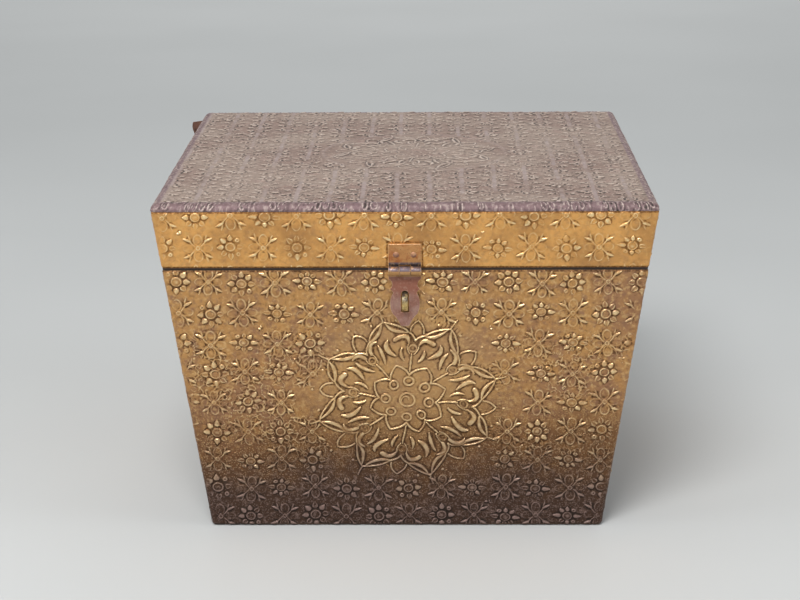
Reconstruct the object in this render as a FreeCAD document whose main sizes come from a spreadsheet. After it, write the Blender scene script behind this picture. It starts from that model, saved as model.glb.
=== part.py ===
import FreeCAD, Part
import math
import os
import Sketcher

# Damchiya chest: a bare wooden box whose four sides lean out towards the top,
# clad in thin brass sheet, with a shallow hinged lid and a hasp on the front.
# Millimetres, +Z up, +X to the right, -Y to the front. The origin lies in the
# middle of the underside.

SIZES = [
    # the box as a whole
    ("base_width", 294.0, "outside width and depth at the floor"),
    ("rim_width", 348.0, "outside width and depth at the joint under the lid"),
    ("case_height", 207.5, "floor to the rim of the case"),
    ("joint_gap", 0.3, "rim of the case to the underside of the lid"),
    ("lid_height", 48.8, "underside of the lid to its flat top"),
    ("corner_radius", 3.0, "upright corners and lower edges, over the sheet"),
    ("lid_edge_radius", 5.5, "top edges of the lid, over the sheet"),
    # boards
    ("board", 12.0, "thickness of the case walls"),
    ("floor_board", 10.0, "thickness of the floor of the case"),
    ("rail", 12.0, "thickness of the frame under the lid's top board"),
    ("top_board", 11.0, "thickness of the lid's top board"),
    # brass sheet
    ("sheet", 0.5, "thickness of the embossed brass"),
    ("fold", 11.0, "how far the front and back sheets turn round the corners"),
    ("sheet_lift", 0.9, "lower edge of the case sheets above the floor"),
    ("rim_bare", 0.45, "bare edge of wood on each side of the joint"),
    # embossed work on the case sheets
    ("emboss", 0.9, "height of the embossed work over the sheet"),
    ("cell", 23.8, "square cell of the embossed pattern"),
    ("cell_drop", 10.2, "joint to the middles of the top row of cells"),
    ("cell_shift", 2.4, "middle of the middle column, to the right of the side's middle"),
    ("floret_gap", 5.4, "between the points of neighbouring florets"),
    ("floret_bare", 0.2, "least plain sheet between a floret and an edge"),
    ("medallion", 119.0, "diameter over the medallion's lobes"),
    ("medallion_drop", 103.0, "joint to the middle of the medallion"),
    ("medallion_bare", 3.5, "plain sheet between the medallion and the florets"),
    ("medallion_band", 2.0, "width of the medallion's raised lines"),
    # hasp
    ("hasp_width", 23.3, "barrel, leaf and top of the strap"),
    ("hasp_sheet", 1.3, "thickness of leaf and strap"),
    ("hasp_barrel", 6.8, "outside diameter of the barrel"),
    ("hasp_pin", 3.2, "diameter of the pin through the barrel"),
    ("hasp_knuckle", 8.0, "length of the middle knuckle, which is the strap's"),
    ("hasp_leaf_rise", 19.6, "pin to the top edge of the leaf"),
    ("hasp_corner", 0.8, "rounded corners of the leaf"),
    ("hasp_screw_spread", 12.4, "between the two screws"),
    ("hasp_screw_rise", 11.6, "pin to the screws"),
    ("hasp_head", 4.6, "diameter of the round screw heads"),
    ("hasp_head_rise", 0.9, "height of the round screw heads"),
    ("hasp_shank", 2.4, "diameter of the screws"),
    ("hasp_screw_length", 10.0, "screws, from the leaf inwards"),
    ("strap_shoulder_drop", 6.4, "pin to the end of the straight shoulder"),
    ("strap_lobe_width", 21.9, "over the pointed lobes"),
    ("strap_lobe_drop", 14.0, "pin to the pointed lobes"),
    ("strap_notch_width", 16.9, "over the notches below the lobes"),
    ("strap_notch_drop", 16.8, "pin to the notches"),
    ("strap_cheek_width", 17.8, "lower end of the belly"),
    ("strap_cheek_drop", 32.2, "pin to the lower end of the belly"),
    ("strap_tip_width", 6.4, "blunt tip"),
    ("strap_tip_drop", 41.0, "pin to the corners of the tip"),
    ("strap_waist_sag", 2.2, "hollow between shoulder and lobe"),
    ("strap_lobe_sag", 0.5, "hollow between lobe and notch"),
    ("strap_belly_sag", 2.0, "swell of the belly"),
    ("strap_jaw_sag", 0.6, "hollow between belly and tip"),
    ("strap_tip_sag", 0.5, "swell of the tip"),
    ("strap_tip_clear", 5.335, "how far the tip swings away from the front as the strap hangs"),
    ("slot_width", 5.8, "slot in the strap"),
    ("slot_height", 15.9, "slot in the strap"),
    ("slot_drop", 15.1, "pin to the top of the slot"),
    # staple
    ("staple_width", 4.1, "width of the staple's strip"),
    ("staple_strip", 1.4, "thickness of the staple's strip"),
    ("staple_height", 13.0, "outside height of the staple"),
    ("staple_reach", 11.5, "how far it stands out from the sheet"),
    ("staple_drop", 23.5, "pin to the middle of the staple"),
    ("staple_clinch", 7.0, "length of each end bent over inside"),
    # back hinges
    ("hinge_width", 38.0, "length of each hinge along its pin"),
    ("hinge_spacing", 220.0, "between the middles of the two hinges"),
    ("hinge_leaf_rise", 19.0, "pin to the far edge of a leaf"),
    ("hinge_sheet", 1.4, "thickness of the leaves"),
    ("hinge_barrel", 6.2, "outside diameter of the knuckles"),
    ("hinge_pin", 3.0, "diameter of the pin"),
    ("hinge_knuckle", 12.6, "length of the middle knuckle, which is the lid's"),
    ("hinge_corner", 4.0, "rounded corners of the leaves"),
    ("hinge_screw_spread", 24.0, "between the screws of a leaf"),
    ("hinge_screw_rise", 11.8, "pin to the screws"),
    ("hinge_head", 5.0, "diameter of the screw heads"),
    ("hinge_head_rise", 0.8, "height of the screw heads"),
    ("hinge_shank", 2.6, "diameter of the screws"),
    ("hinge_screw_length", 10.0, "screws, from the leaf inwards"),
    # clearances
    ("seat_gap", 0.3, "between pieces that move past each other"),
    ("pin_gap", 0.05, "all round a pin inside a knuckle that turns on it"),
    # lug on the lid's left side, by the back corner
    ("lug_back", 12.98, "middle of the lug's foot to the back face at its own height"),
    ("lug_rise", 26.0, "joint to the lower end of the lug"),
    ("lug_height", 17.0, "height of the lug"),
    ("lug_sheet", 1.1, "thickness of the lug"),
    ("lug_foot", 15.0, "length of the foot along the side"),
    ("lug_low_reach", 6.5, "lower corner of the lug, out from the side"),
    ("lug_low_rise", 2.0, "foot to the lug's lower corner"),
    ("lug_waist_reach", 10.6, "notch between its two scallops"),
    ("lug_waist_rise", 8.0, "foot to that notch"),
    ("lug_top_reach", 10.0, "upper corner of the lug"),
    ("lug_low_sag", 1.2, "swell of the lower scallop"),
    ("lug_top_sag", 1.0, "swell of the upper scallop"),
    ("lug_head", 4.0, "heads of the nails through the foot"),
    ("lug_head_rise", 0.7, "height of those heads"),
    ("lug_shank", 2.0, "diameter of those nails"),
    ("lug_screw_length", 9.0, "nails, from the foot inwards"),
    ("lug_screw_spread", 9.0, "between the two nails"),
    # cutting
    ("overrun", 40.0, "how far a cutting body passes what it cuts"),
]

doc = FreeCAD.newDocument("DamchiyaChest")
page = doc.addObject("Spreadsheet::Sheet", "Sizes")
for row, (alias, number, note) in enumerate(SIZES, 1):
    page.set(f"A{row}", alias)
    page.set(f"B{row}", str(number))
    page.set(f"C{row}", note)
    page.setAlias(f"B{row}", alias)
doc.recompute()


class Size:
    """A length, share or angle: its value, and the expression that binds it to the spreadsheet."""

    def __init__(self, value, text):
        self.value = value
        self.text = text

    def joined(self, other, value, sign):
        return Size(value, f"({self.text} {sign} {other.text})")

    def __add__(self, other):
        other = as_size(other)
        return self.joined(other, self.value + other.value, "+")

    def __sub__(self, other):
        other = as_size(other)
        return self.joined(other, self.value - other.value, "-")

    def __mul__(self, other):
        other = as_size(other)
        return self.joined(other, self.value * other.value, "*")

    def __truediv__(self, other):
        other = as_size(other)
        return self.joined(other, self.value / other.value, "/")

    def __neg__(self):
        return self * -1

    __radd__ = __add__
    __rmul__ = __mul__


def as_size(number):
    return number if isinstance(number, Size) else Size(float(number), repr(float(number)))


def size(alias):
    return Size(float(page.get(alias)), f"Sizes.{alias}")


def cosine(angle):
    return Size(math.cos(math.radians(angle.value)), f"cos({angle.text})")


def sine(angle):
    return Size(math.sin(math.radians(angle.value)), f"sin({angle.text})")


def arc_sine(share):
    return Size(math.degrees(math.asin(share.value)), f"asin({share.text})")


def arc_tangent(share):
    return Size(math.degrees(math.atan(share.value)), f"atan({share.text})")


zero = as_size(0)
seat_gap = size("seat_gap")
overrun = size("overrun")
sheet = size("sheet")
case_height = size("case_height")

# Lean of the sides: run per rise, its angle, and what a thickness that is measured
# square to a face comes to along the level.
lean_run = (size("rim_width") - size("base_width")) / (2 * case_height)
lean = arc_tangent(lean_run)
sheet_run = sheet / cosine(lean)
board_run = size("board") / cosine(lean)
rail_run = size("rail") / cosine(lean)

lid_bottom = case_height + size("joint_gap")
lid_top = lid_bottom + size("lid_height")
joint_height = case_height + size("joint_gap") / 2
top_underside = lid_top - sheet - size("top_board")


def half_width(height):
    """Half the outside width of the box at a height above the floor."""
    return size("base_width") / 2 + lean_run * height


# Building blocks

def bind(thing, **sizes):
    for name, bound in sizes.items():
        thing.setExpression(name, as_size(bound).text)
    return thing


def place(thing, point, axis=(1, 0, 0), turn=0):
    """Put a thing at a bound point, turned by whole quarters about an axis."""
    thing.Placement = FreeCAD.Placement(
        FreeCAD.Vector(*[coordinate.value for coordinate in point]),
        FreeCAD.Rotation(FreeCAD.Vector(*axis), turn),
    )
    for letter, coordinate in zip("xyz", point):
        thing.setExpression(f".Placement.Base.{letter}", coordinate.text)
    return thing


def turned(thing, point, turns):
    """Put a thing at a bound point, turned by bound angles about X, Y or Z, the last one first."""
    rotation = FreeCAD.Rotation()
    steps = []
    for axis, angle in turns:
        rotation = rotation * FreeCAD.Rotation(FreeCAD.Vector(*axis), angle.value)
        steps.append(f"rotation(vector({axis[0]}; {axis[1]}; {axis[2]}); {angle.text})")
    x, y, z = point
    thing.Placement = FreeCAD.Placement(FreeCAD.Vector(x.value, y.value, z.value), rotation)
    thing.setExpression(
        "Placement", f"placement(vector({x.text}; {y.text}; {z.text}); {' * '.join(steps)})"
    )
    return thing


def leaning_block(label, low, high, across, deep):
    """A block between two heights whose sides follow the lean of the box.

    across and deep each give two faces, from low to high X or Y, as (side, inset): the face on
    that side of the box, -1 or 1, set in by that distance."""
    block = doc.addObject("Part::Wedge", label)

    def face(entry, height):
        side, inset = entry
        return side * (half_width(height) - inset)

    bind(
        block,
        Ymin=low, Ymax=high,
        Xmin=face(across[0], low), Xmax=face(across[1], low),
        X2min=face(across[0], high), X2max=face(across[1], high),
        Zmin=-face(deep[1], low), Zmax=-face(deep[0], low),
        Z2min=-face(deep[1], high), Z2max=-face(deep[0], high),
    )
    place(block, (zero, zero, zero), turn=90)
    doc.recompute()
    return block


def rounded_form(label, heights, inset, upright_radius, level_radius, level_height):
    """The whole box between two heights, with its uprights and one set of level edges rounded."""
    low, high = heights
    sides = ((-1, inset), (1, inset))
    block = leaning_block(label + "_block", low, high, sides, sides)
    half_rise = (high - low).value / 2
    rounded = []
    for number, edge in enumerate(block.Shape.Edges, 1):
        first, last = [corner.Z for corner in edge.Vertexes]
        if abs(first - last) > half_rise:
            rounded.append((number, upright_radius.value, upright_radius.value))
        elif abs(first - level_height.value) < half_rise:
            rounded.append((number, level_radius.value, level_radius.value))
    form = doc.addObject("Part::Fillet", label)
    form.Base = block
    form.Edges = rounded
    doc.recompute()
    return form


def cut(label, base, tool):
    result = doc.addObject("Part::Cut", label)
    result.Base = base
    result.Tool = tool
    return result


def common(label, base, tool):
    result = doc.addObject("Part::Common", label)
    result.Base = base
    result.Tool = tool
    return result


def fuse(label, pieces):
    result = doc.addObject("Part::MultiFuse", label)
    result.Shapes = pieces
    return result


def group(label, pieces):
    result = doc.addObject("Part::Compound", label)
    result.Links = pieces
    return result


def box(label, low, high):
    solid = doc.addObject("Part::Box", label)
    bind(solid, Length=high[0] - low[0], Width=high[1] - low[1], Height=high[2] - low[2])
    return place(solid, low)


ALONG = {"x": ((0, 1, 0), 90), "y": ((1, 0, 0), -90)}


def rod(label, diameter, start, length, along="x"):
    solid = doc.addObject("Part::Cylinder", label)
    bind(solid, Radius=diameter / 2, Height=length)
    return place(solid, start, *ALONG[along])


def screw(label, middle, head, head_rise, shank, length):
    """A screw or nail along +Y, with a low domed head that sits at middle and a tapered point."""
    x, y, z = middle
    ball = (head * head / 4 + head_rise * head_rise) / (2 * head_rise)
    dome = doc.addObject("Part::Sphere", label + "_head")
    bind(dome, Radius=ball, Angle1=arc_sine((ball - head_rise) / ball))
    place(dome, (x, y + ball - head_rise, z), turn=90)
    stem = rod(label + "_stem", shank, middle, length - shank, "y")
    point = doc.addObject("Part::Cone", label + "_point")
    bind(point, Radius1=shank / 2, Radius2=shank / 8, Height=shank)
    place(point, (x, y + length - shank, z), *ALONG["y"])
    return fuse(label, [dome, stem, point])


def outline(label, corners):
    """A closed sketch in the XZ plane.

    Each corner is (x, z, swell): swell is how far the stretch that leads to it bows to the right
    of its direction, or to the left where it is negative. None is a straight stretch."""
    sketch = doc.addObject("Sketcher::SketchObject", label)
    sketch.Placement = FreeCAD.Placement(
        FreeCAD.Vector(0, 0, 0), FreeCAD.Rotation(FreeCAD.Vector(1, 0, 0), 90)
    )
    starts = []
    previous_x, previous_z, _ = corners[-1]
    for x, z, swell in corners:
        start = FreeCAD.Vector(previous_x.value, previous_z.value, 0)
        end = FreeCAD.Vector(x.value, z.value, 0)
        if swell is None:
            stretch = sketch.addGeometry(Part.LineSegment(start, end), False)
        else:
            run = end - start
            aside = FreeCAD.Vector(run.y, -run.x, 0).normalize() * swell.value
            stretch = sketch.addGeometry(Part.Arc(start, (start + end) * 0.5 + aside, end), False)
            across, up = x - previous_x, z - previous_z
            depth = swell if swell.value > 0 else -swell
            radius = (across * across + up * up) / (8 * depth) + depth / 2
            number = sketch.addConstraint(Sketcher.Constraint("Radius", stretch, radius.value))
            sketch.setExpression(f"Constraints[{number}]", radius.text)
        at_start = sketch.getPoint(stretch, 1).distanceToPoint(start)
        at_end = sketch.getPoint(stretch, 1).distanceToPoint(end)
        starts.append((stretch, 1 if at_start < at_end else 2))
        previous_x, previous_z = x, z
    for index, (x, z, _) in enumerate(corners):
        stretch, start_point = starts[index]
        end_point = 3 - start_point
        following = starts[(index + 1) % len(starts)]
        sketch.addConstraint(Sketcher.Constraint("Coincident", stretch, end_point, *following))
        for kind, coordinate in (("DistanceX", x), ("DistanceY", z)):
            number = sketch.addConstraint(
                Sketcher.Constraint(kind, -1, 1, stretch, end_point, coordinate.value)
            )
            sketch.setExpression(f"Constraints[{number}]", coordinate.text)
    return sketch


def plate(label, corners, back, thickness):
    """A flat plate with that outline, from y = back on towards +Y."""
    blank = doc.addObject("Part::Extrusion", label)
    blank.Base = outline(label + "_outline", corners)
    blank.DirMode = "Custom"
    blank.Dir = FreeCAD.Vector(0, 1, 0)
    blank.Solid = True
    bind(blank, LengthFwd=thickness)
    return place(blank, (zero, back, zero))


# Faces of the box. A thing for one is drawn with X along the face, Z up it and -Y out of it.

FRONT, BACK, LEFT, RIGHT = 0, 180, -90, 90


def on_face(thing, turn, across=zero, height=joint_height):
    reach = half_width(height)
    spots = {
        FRONT: (across, -reach),
        BACK: (-across, reach),
        LEFT: (-reach, -across),
        RIGHT: (reach, across),
    }
    return turned(thing, (*spots[turn], height), [((0, 0, 1), as_size(turn)), ((1, 0, 0), lean)])


# What a rounded corner bows past its chord, as a share of its radius
BOW_SHARE = 1 - math.cos(math.radians(45))


def leaf(label, thickness, barrel, width, reach, rounding, knuckles, bore, up):
    """A hinge leaf: a plate up or down the face from the pin line, and its own rolled knuckles.

    knuckles are this leaf's stretches along X; its plate keeps clear of the other leaf's."""
    away = barrel / 2 + seat_gap
    bow = up * BOW_SHARE * rounding
    corners = [
        (-width / 2, up * away, None),
        (width / 2, up * away, None),
        (width / 2, up * (reach - rounding), None),
        (width / 2 - rounding, up * reach, bow),
        (rounding - width / 2, up * reach, None),
        (-width / 2, up * (reach - rounding), bow),
    ]
    pieces = [plate(label + "_plate", corners, -thickness, thickness)]
    low, high = (zero, away) if up > 0 else (-away, zero)
    for number, (start, end) in enumerate(knuckles, 1):
        pieces.append(box(f"{label}_tongue_{number}", (start, -thickness, low), (end, zero, high)))
        pieces.append(rod(f"{label}_knuckle_{number}", barrel, (start, -away, zero), end - start))
    hole = rod(label + "_bore", bore, (-width / 2 - overrun, -away, zero), width + 2 * overrun)
    return cut(label + "_shape", fuse(label + "_blank", pieces), hole)


def pair_of_screws(label, kind, rise, plate_thickness):
    """Two screws side by side through a plate on a face; kind starts their names in the sheet."""
    pair = []
    for side, name in ((-1, "left"), (1, "right")):
        pair.append(screw(
            f"{label}_{name}", (side * size(kind + "_screw_spread") / 2, -plate_thickness, rise),
            size(kind + "_head"), size(kind + "_head_rise"), size(kind + "_shank"),
            size(kind + "_screw_length"),
        ))
    return group(label, pair)


# Forms that the boards and the sheets are cut from

corner = size("corner_radius")
lid_edge = size("lid_edge_radius")
case_span = (zero, case_height)
case_outside = rounded_form("case_outside", case_span, zero, corner, corner, zero)
case_inside = rounded_form("case_inside", case_span, sheet_run, corner - sheet, corner - sheet, zero)
case_skin = cut("case_skin", case_outside, case_inside)
lid_outside = rounded_form("lid_outside", (lid_bottom, lid_top), zero, corner, lid_edge, lid_top)
lid_inside = rounded_form(
    "lid_inside", (lid_bottom, lid_top - sheet), sheet_run, corner - sheet, lid_edge - sheet, lid_top
)
lid_skin = cut("lid_skin", lid_outside, lid_inside)


# Boards: front and back over the full width, and side boards between them

def four_boards(prefix, low, high, thickness_run, form):
    inner = sheet_run + thickness_run
    layouts = {
        "front": (((-1, zero), (1, zero)), ((-1, zero), (-1, inner))),
        "back": (((-1, zero), (1, zero)), ((1, inner), (1, zero))),
        "left": (((-1, zero), (-1, inner)), ((-1, inner), (1, inner))),
        "right": (((1, inner), (1, zero)), ((-1, inner), (1, inner))),
    }
    boards = {}
    for side, (across, deep) in layouts.items():
        blank = leaning_block(f"{prefix}_{side}_blank", low, high, across, deep)
        boards[side] = common(f"{prefix}_{side}_shape", blank, form)
    return boards


case_boards = four_boards("case", zero, case_height, board_run, case_inside)
lid_rails = four_boards("lid", lid_bottom, top_underside, rail_run, lid_inside)
between_walls = ((-1, sheet_run + board_run), (1, sheet_run + board_run))
bottom_board = leaning_block("bottom_board", zero, size("floor_board"), between_walls, between_walls)
whole_width = ((-1, zero), (1, zero))
top_blank = leaning_block("lid_top_blank", top_underside, lid_top, whole_width, whole_width)
lid_top_board = common("lid_top_board", top_blank, lid_inside)


# Sheets: front and back turn round the corners, and the side sheets fill in between.
# The lid's top sheet is dressed over the rounded edge.

def four_sheets(prefix, low, high, skin):
    fold = size("fold")
    layouts = {
        "front": (((-1, -overrun), (1, -overrun)), ((-1, -overrun), (-1, fold))),
        "back": (((-1, -overrun), (1, -overrun)), ((1, fold), (1, -overrun))),
        "left": (((-1, -overrun), (-1, fold)), ((-1, fold), (1, fold))),
        "right": (((1, fold), (1, -overrun)), ((-1, fold), (1, fold))),
    }
    sheets = {}
    for side, (across, deep) in layouts.items():
        window = leaning_block(f"{prefix}_{side}_window", low, high, across, deep)
        sheets[side] = common(f"{prefix}_{side}_sheet", skin, window)
    return sheets


rim_bare = size("rim_bare")
lid_seam = lid_top - lid_edge
case_sheets = four_sheets("case", size("sheet_lift"), case_height - rim_bare, case_skin)
lid_sheets = four_sheets("lid", lid_bottom + rim_bare, lid_seam, lid_skin)
beyond = ((-1, -overrun), (1, -overrun))
top_window = leaning_block("lid_top_window", lid_seam, lid_top + overrun, beyond, beyond)
lid_top_cladding = common("lid_top_cladding", lid_skin, top_window)


# Embossed work on the case sheets: two kinds of floret in a chequer, and a medallion

# Corners as (turn in degrees, share of the reach), over one point of the form
DAISY_SHARES = [(0, 1.0), (22.5, 0.5)]
CROSS_SHARES = [(45, 1.4), (90, 0.34)]
HUB_SHARES = [(0, 0.08)]
STAR_SHARES = [(0, 0.35), (22.5, 0.47)]
RIM_SHARES = [(0, 0.81), (14.5, 0.96), (22.5, 1.0), (30.5, 0.96)]
# What lies on a notch's line and, in pairs, beside it, as shares of the reach: start and end
# along that line, start and end aside from it, and half the width
NOTCH_SHARES = [
    (0.2, 0.32, 0, 0, 0.046),
    (0.375, 0.62, 0, 0, 0.011),
    (0.635, 0.705, 0, 0, 0.034),
    (0.87, 1.05, 0, 0, 0.05),
]
SCROLL_SHARES = [
    (0.5, 0.7, 0.16, 0.11, 0.03),
    (0.53, 0.8, 0.19, 0.27, 0.03),
    (0.66, 0.83, 0.215, 0.12, 0.032),
]
LOBES = 8
# How far the medallion is turned, in degrees, with the clock as seen from outside
MEDALLION_TURN = 7


def spun(shares, times, reach, middle, turn=0):
    """Corners of a form of equal points round a middle, on a side's plane."""
    corners = []
    for number in range(times):
        for angle, share in shares:
            at = math.radians(angle + 360 * number / times + turn)
            out = reach * share
            corners.append((middle[0] + out * math.sin(at), middle[1] + out * math.cos(at)))
    return corners


def flat_face(points):
    return Part.Face(Part.makePolygon(points + points[:1]))


def sunk(corners):
    """An outline's points, sunk in the sheet by half its thickness."""
    return [FreeCAD.Vector(x, sheet.value / 2, z) for x, z in corners]


def ridge(corners, middle):
    """A low pyramid that rises from an outline to a point over its middle."""
    foot = sunk(corners)
    tip = FreeCAD.Vector(middle[0], -emboss.value, middle[1])
    faces = [flat_face(foot)]
    for start, end in zip(foot, foot[1:] + foot[:1]):
        faces.append(flat_face([end, start, tip]))
    solid = Part.makeSolid(Part.makeShell(faces))
    if solid.Volume < 0:
        solid.reverse()
    return solid


def raised_band(shares, reach, width, middle, turn):
    """A flat raised line along an outline of the medallion."""
    rise = FreeCAD.Vector(0, -(sheet.value / 2 + emboss.value), 0)
    outer = spun(shares, LOBES, reach, middle, turn)
    scale = 1 - width / (reach * min(share for _, share in shares))
    inner = spun([(angle, share * scale) for angle, share in shares], LOBES, reach, middle, turn)
    return flat_face(sunk(outer)).extrude(rise).cut(flat_face(sunk(inner)).extrude(rise))


def medallion_forms(middle):
    """A hub, a star and a lobed rim, with leaves on each notch's line and in pairs beside it."""
    reach = size("medallion").value / 2
    band = size("medallion_band").value
    leaves = list(NOTCH_SHARES)
    for start, end, start_aside, end_aside, half in SCROLL_SHARES:
        leaves.append((start, end, start_aside, end_aside, half))
        leaves.append((start, end, -start_aside, -end_aside, half))
    forms = [ridge(spun(HUB_SHARES, LOBES, reach, middle, MEDALLION_TURN), middle)]
    for shares in (STAR_SHARES, RIM_SHARES):
        forms.append(raised_band(shares, reach, band, middle, MEDALLION_TURN))
    for lobe in range(LOBES):
        at = math.radians(360 * lobe / LOBES + MEDALLION_TURN)
        out, aside = (math.sin(at), math.cos(at)), (math.cos(at), -math.sin(at))
        for start, end, start_aside, end_aside, half in leaves:
            half_way, half_aside = (start + end) / 2, (start_aside + end_aside) / 2
            corners = [
                (start, start_aside), (half_way, half_aside + half),
                (end, end_aside), (half_way, half_aside - half),
            ]
            points = [
                tuple(middle[k] + reach * (along * out[k] + across * aside[k]) for k in (0, 1))
                for along, across in corners + [(half_way, half_aside)]
            ]
            forms.append(ridge(points[:4], points[4]))
    return forms


def embossed_work(label, edge, has_medallion, covered):
    """The raised work of one side, from the joint line down.

    edge is how far the flat sheet ends within the side's width. covered are the stretches that
    hardware lies on, as (middle, half width, depth) across and down the side."""
    cell = size("cell").value
    reach = (cell - size("floret_gap").value) / 2
    bare = reach + size("floret_bare").value
    medallion_at = (size("cell_shift").value, -size("medallion_drop").value)
    keep_off = size("medallion").value / 2 + size("medallion_bare").value + reach
    lowest = ((case_height - size("sheet_lift") - corner) / cosine(lean)).value
    forms = medallion_forms(medallion_at) if has_medallion else []
    row, drop = 0, size("cell_drop").value
    while drop + bare < lowest:
        foot = joint_height - (drop + bare) * cosine(lean)
        flat = half_width(foot).value - edge.value - bare
        columns = int(flat / cell) + 1
        for column in range(-columns, columns + 1):
            across = size("cell_shift").value + column * cell
            hidden = any(
                abs(across - middle.value) < half.value + bare and drop - bare < depth.value
                for middle, half, depth in covered
            )
            in_medallion = has_medallion and math.dist((across, -drop), medallion_at) < keep_off
            if abs(across) > flat or hidden or in_medallion:
                continue
            shares, times = (DAISY_SHARES, 8) if (column + row) % 2 else (CROSS_SHARES, 4)
            middle = (across, -drop)
            forms.append(ridge(spun(shares, times, reach, middle), middle))
        row, drop = row + 1, drop + cell
    work = doc.addObject("Part::Feature", label)
    work.Shape = Part.makeCompound(forms)
    return work


emboss = size("emboss")
hasp_cover = [(zero, size("hasp_width") / 2, size("strap_tip_drop"))]
hinge_cover = [
    (side * size("hinge_spacing") / 2, size("hinge_width") / 2, size("hinge_leaf_rise"))
    for side in (-1, 1)
]
embossed_sides = {
    "front": (FRONT, corner, True, hasp_cover),
    "back": (BACK, corner, False, hinge_cover),
    "left": (LEFT, size("fold"), True, []),
    "right": (RIGHT, size("fold"), True, []),
}


# Hasp: a leaf on the lid, a scalloped strap that hangs from its pin, and a staple

hasp_width = size("hasp_width")
hasp_sheet = size("hasp_sheet")
hasp_barrel = size("hasp_barrel")
hasp_pin = size("hasp_pin")
hasp_out = hasp_barrel / 2 + seat_gap
outer_start = size("hasp_knuckle") / 2 + seat_gap / 2
outer_knuckles = [(-hasp_width / 2, -outer_start), (outer_start, hasp_width / 2)]
hasp_leaf_shape = on_face(
    leaf(
        "hasp_leaf", hasp_sheet, hasp_barrel, hasp_width, size("hasp_leaf_rise"),
        size("hasp_corner"), outer_knuckles, hasp_pin, 1,
    ),
    FRONT,
)
hasp_screws = on_face(
    pair_of_screws("hasp_screws", "hasp", size("hasp_screw_rise"), hasp_sheet), FRONT
)
hasp_leaf = cut("hasp_leaf", hasp_leaf_shape, hasp_screws)
hasp_pin_solid = on_face(
    group("hasp_pin", [rod("hasp_pin_rod", hasp_pin, (-hasp_width / 2, -hasp_out, zero), hasp_width)]),
    FRONT,
)


def strap_corners():
    """The strap's outline: down its right edge, round the tip and up the left, mirrored."""
    right = [
        (hasp_width / 2, -hasp_out, None),
        (hasp_width / 2, -size("strap_shoulder_drop"), None),
        (size("strap_lobe_width") / 2, -size("strap_lobe_drop"), size("strap_waist_sag")),
        (size("strap_notch_width") / 2, -size("strap_notch_drop"), size("strap_lobe_sag")),
        (size("strap_cheek_width") / 2, -size("strap_cheek_drop"), -size("strap_belly_sag")),
        (size("strap_tip_width") / 2, -size("strap_tip_drop"), size("strap_jaw_sag")),
    ]
    left = []
    swell_on = -size("strap_tip_sag")
    for x, z, swell in reversed(right):
        left.append((-x, z, swell_on))
        swell_on = swell
    return right + left


strap_half = size("hasp_knuckle") / 2 - seat_gap / 2
strap_back = hasp_barrel / 2 - hasp_sheet
slot_width = size("slot_width")
slot_round = size("slot_drop") + slot_width / 2
slot_foot = size("slot_drop") + size("slot_height")
strap_blank = fuse("hasp_strap_blank", [
    plate("hasp_strap_plate", strap_corners(), strap_back, hasp_sheet),
    box("hasp_strap_tongue", (-strap_half, strap_back, -hasp_out), (strap_half, hasp_barrel / 2, zero)),
    rod("hasp_strap_knuckle", hasp_barrel, (-strap_half, zero, zero), 2 * strap_half),
])
strap_holes = fuse("hasp_strap_holes", [
    rod("hasp_strap_bore", hasp_pin + 2 * size("pin_gap"), (-hasp_width, zero, zero), 2 * hasp_width),
    box("hasp_slot_box", (-slot_width / 2, zero, -slot_foot), (slot_width / 2, overrun, -slot_round)),
    rod("hasp_slot_top", slot_width, (zero, zero, -slot_round), overrun, "y"),
])
hasp_strap_shape = cut("hasp_strap_shape", strap_blank, strap_holes)
# The pin line, from the joint line on the front face straight out of that face
pin_y = -(half_width(joint_height) + hasp_out * cosine(lean))
pin_z = joint_height - hasp_out * sine(lean)
# It hangs plumb, away from the front, which leans over it
strap_hang = arc_tangent(size("strap_tip_clear") / size("strap_tip_drop"))
hasp_strap = turned(
    group("hasp_strap", [hasp_strap_shape]), (zero, pin_y, pin_z), [((1, 0, 0), lean - strap_hang)]
)


def staple_bow(label, inset, width, back):
    """A solid U on its side: a half round that faces out, and a block back to y = back."""
    radius = size("staple_height") / 2 - inset
    centre = size("staple_height") / 2 - size("staple_reach")
    return fuse(label, [
        rod(label + "_round", 2 * radius, (-width / 2, centre, zero), width),
        box(label + "_block", (-width / 2, centre, -radius), (width / 2, back, radius)),
    ])


staple_width = size("staple_width")
staple_strip = size("staple_strip")
inner_face = sheet + size("board")
staple_end = inner_face + staple_strip
bow_shape = cut(
    "staple_bow",
    staple_bow("staple_outside", zero, staple_width, staple_end),
    staple_bow("staple_eye", staple_strip, staple_width + 2 * overrun, staple_end + overrun),
)
staple_half = size("staple_height") / 2
clinches = []
for name, side in (("upper", 1), ("lower", -1)):
    near, far = side * (staple_half - staple_strip), side * (staple_half + size("staple_clinch"))
    low, high = (near, far) if side > 0 else (far, near)
    clinches.append(box(
        f"staple_{name}_clinch", (-staple_width / 2, inner_face, low), (staple_width / 2, staple_end, high)
    ))
staple_height = joint_height - size("staple_drop") * cosine(lean)
staple = on_face(fuse("staple", [bow_shape] + clinches), FRONT, height=staple_height)


# Two butt hinges on the back, with their knuckles rolled outwards

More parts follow.
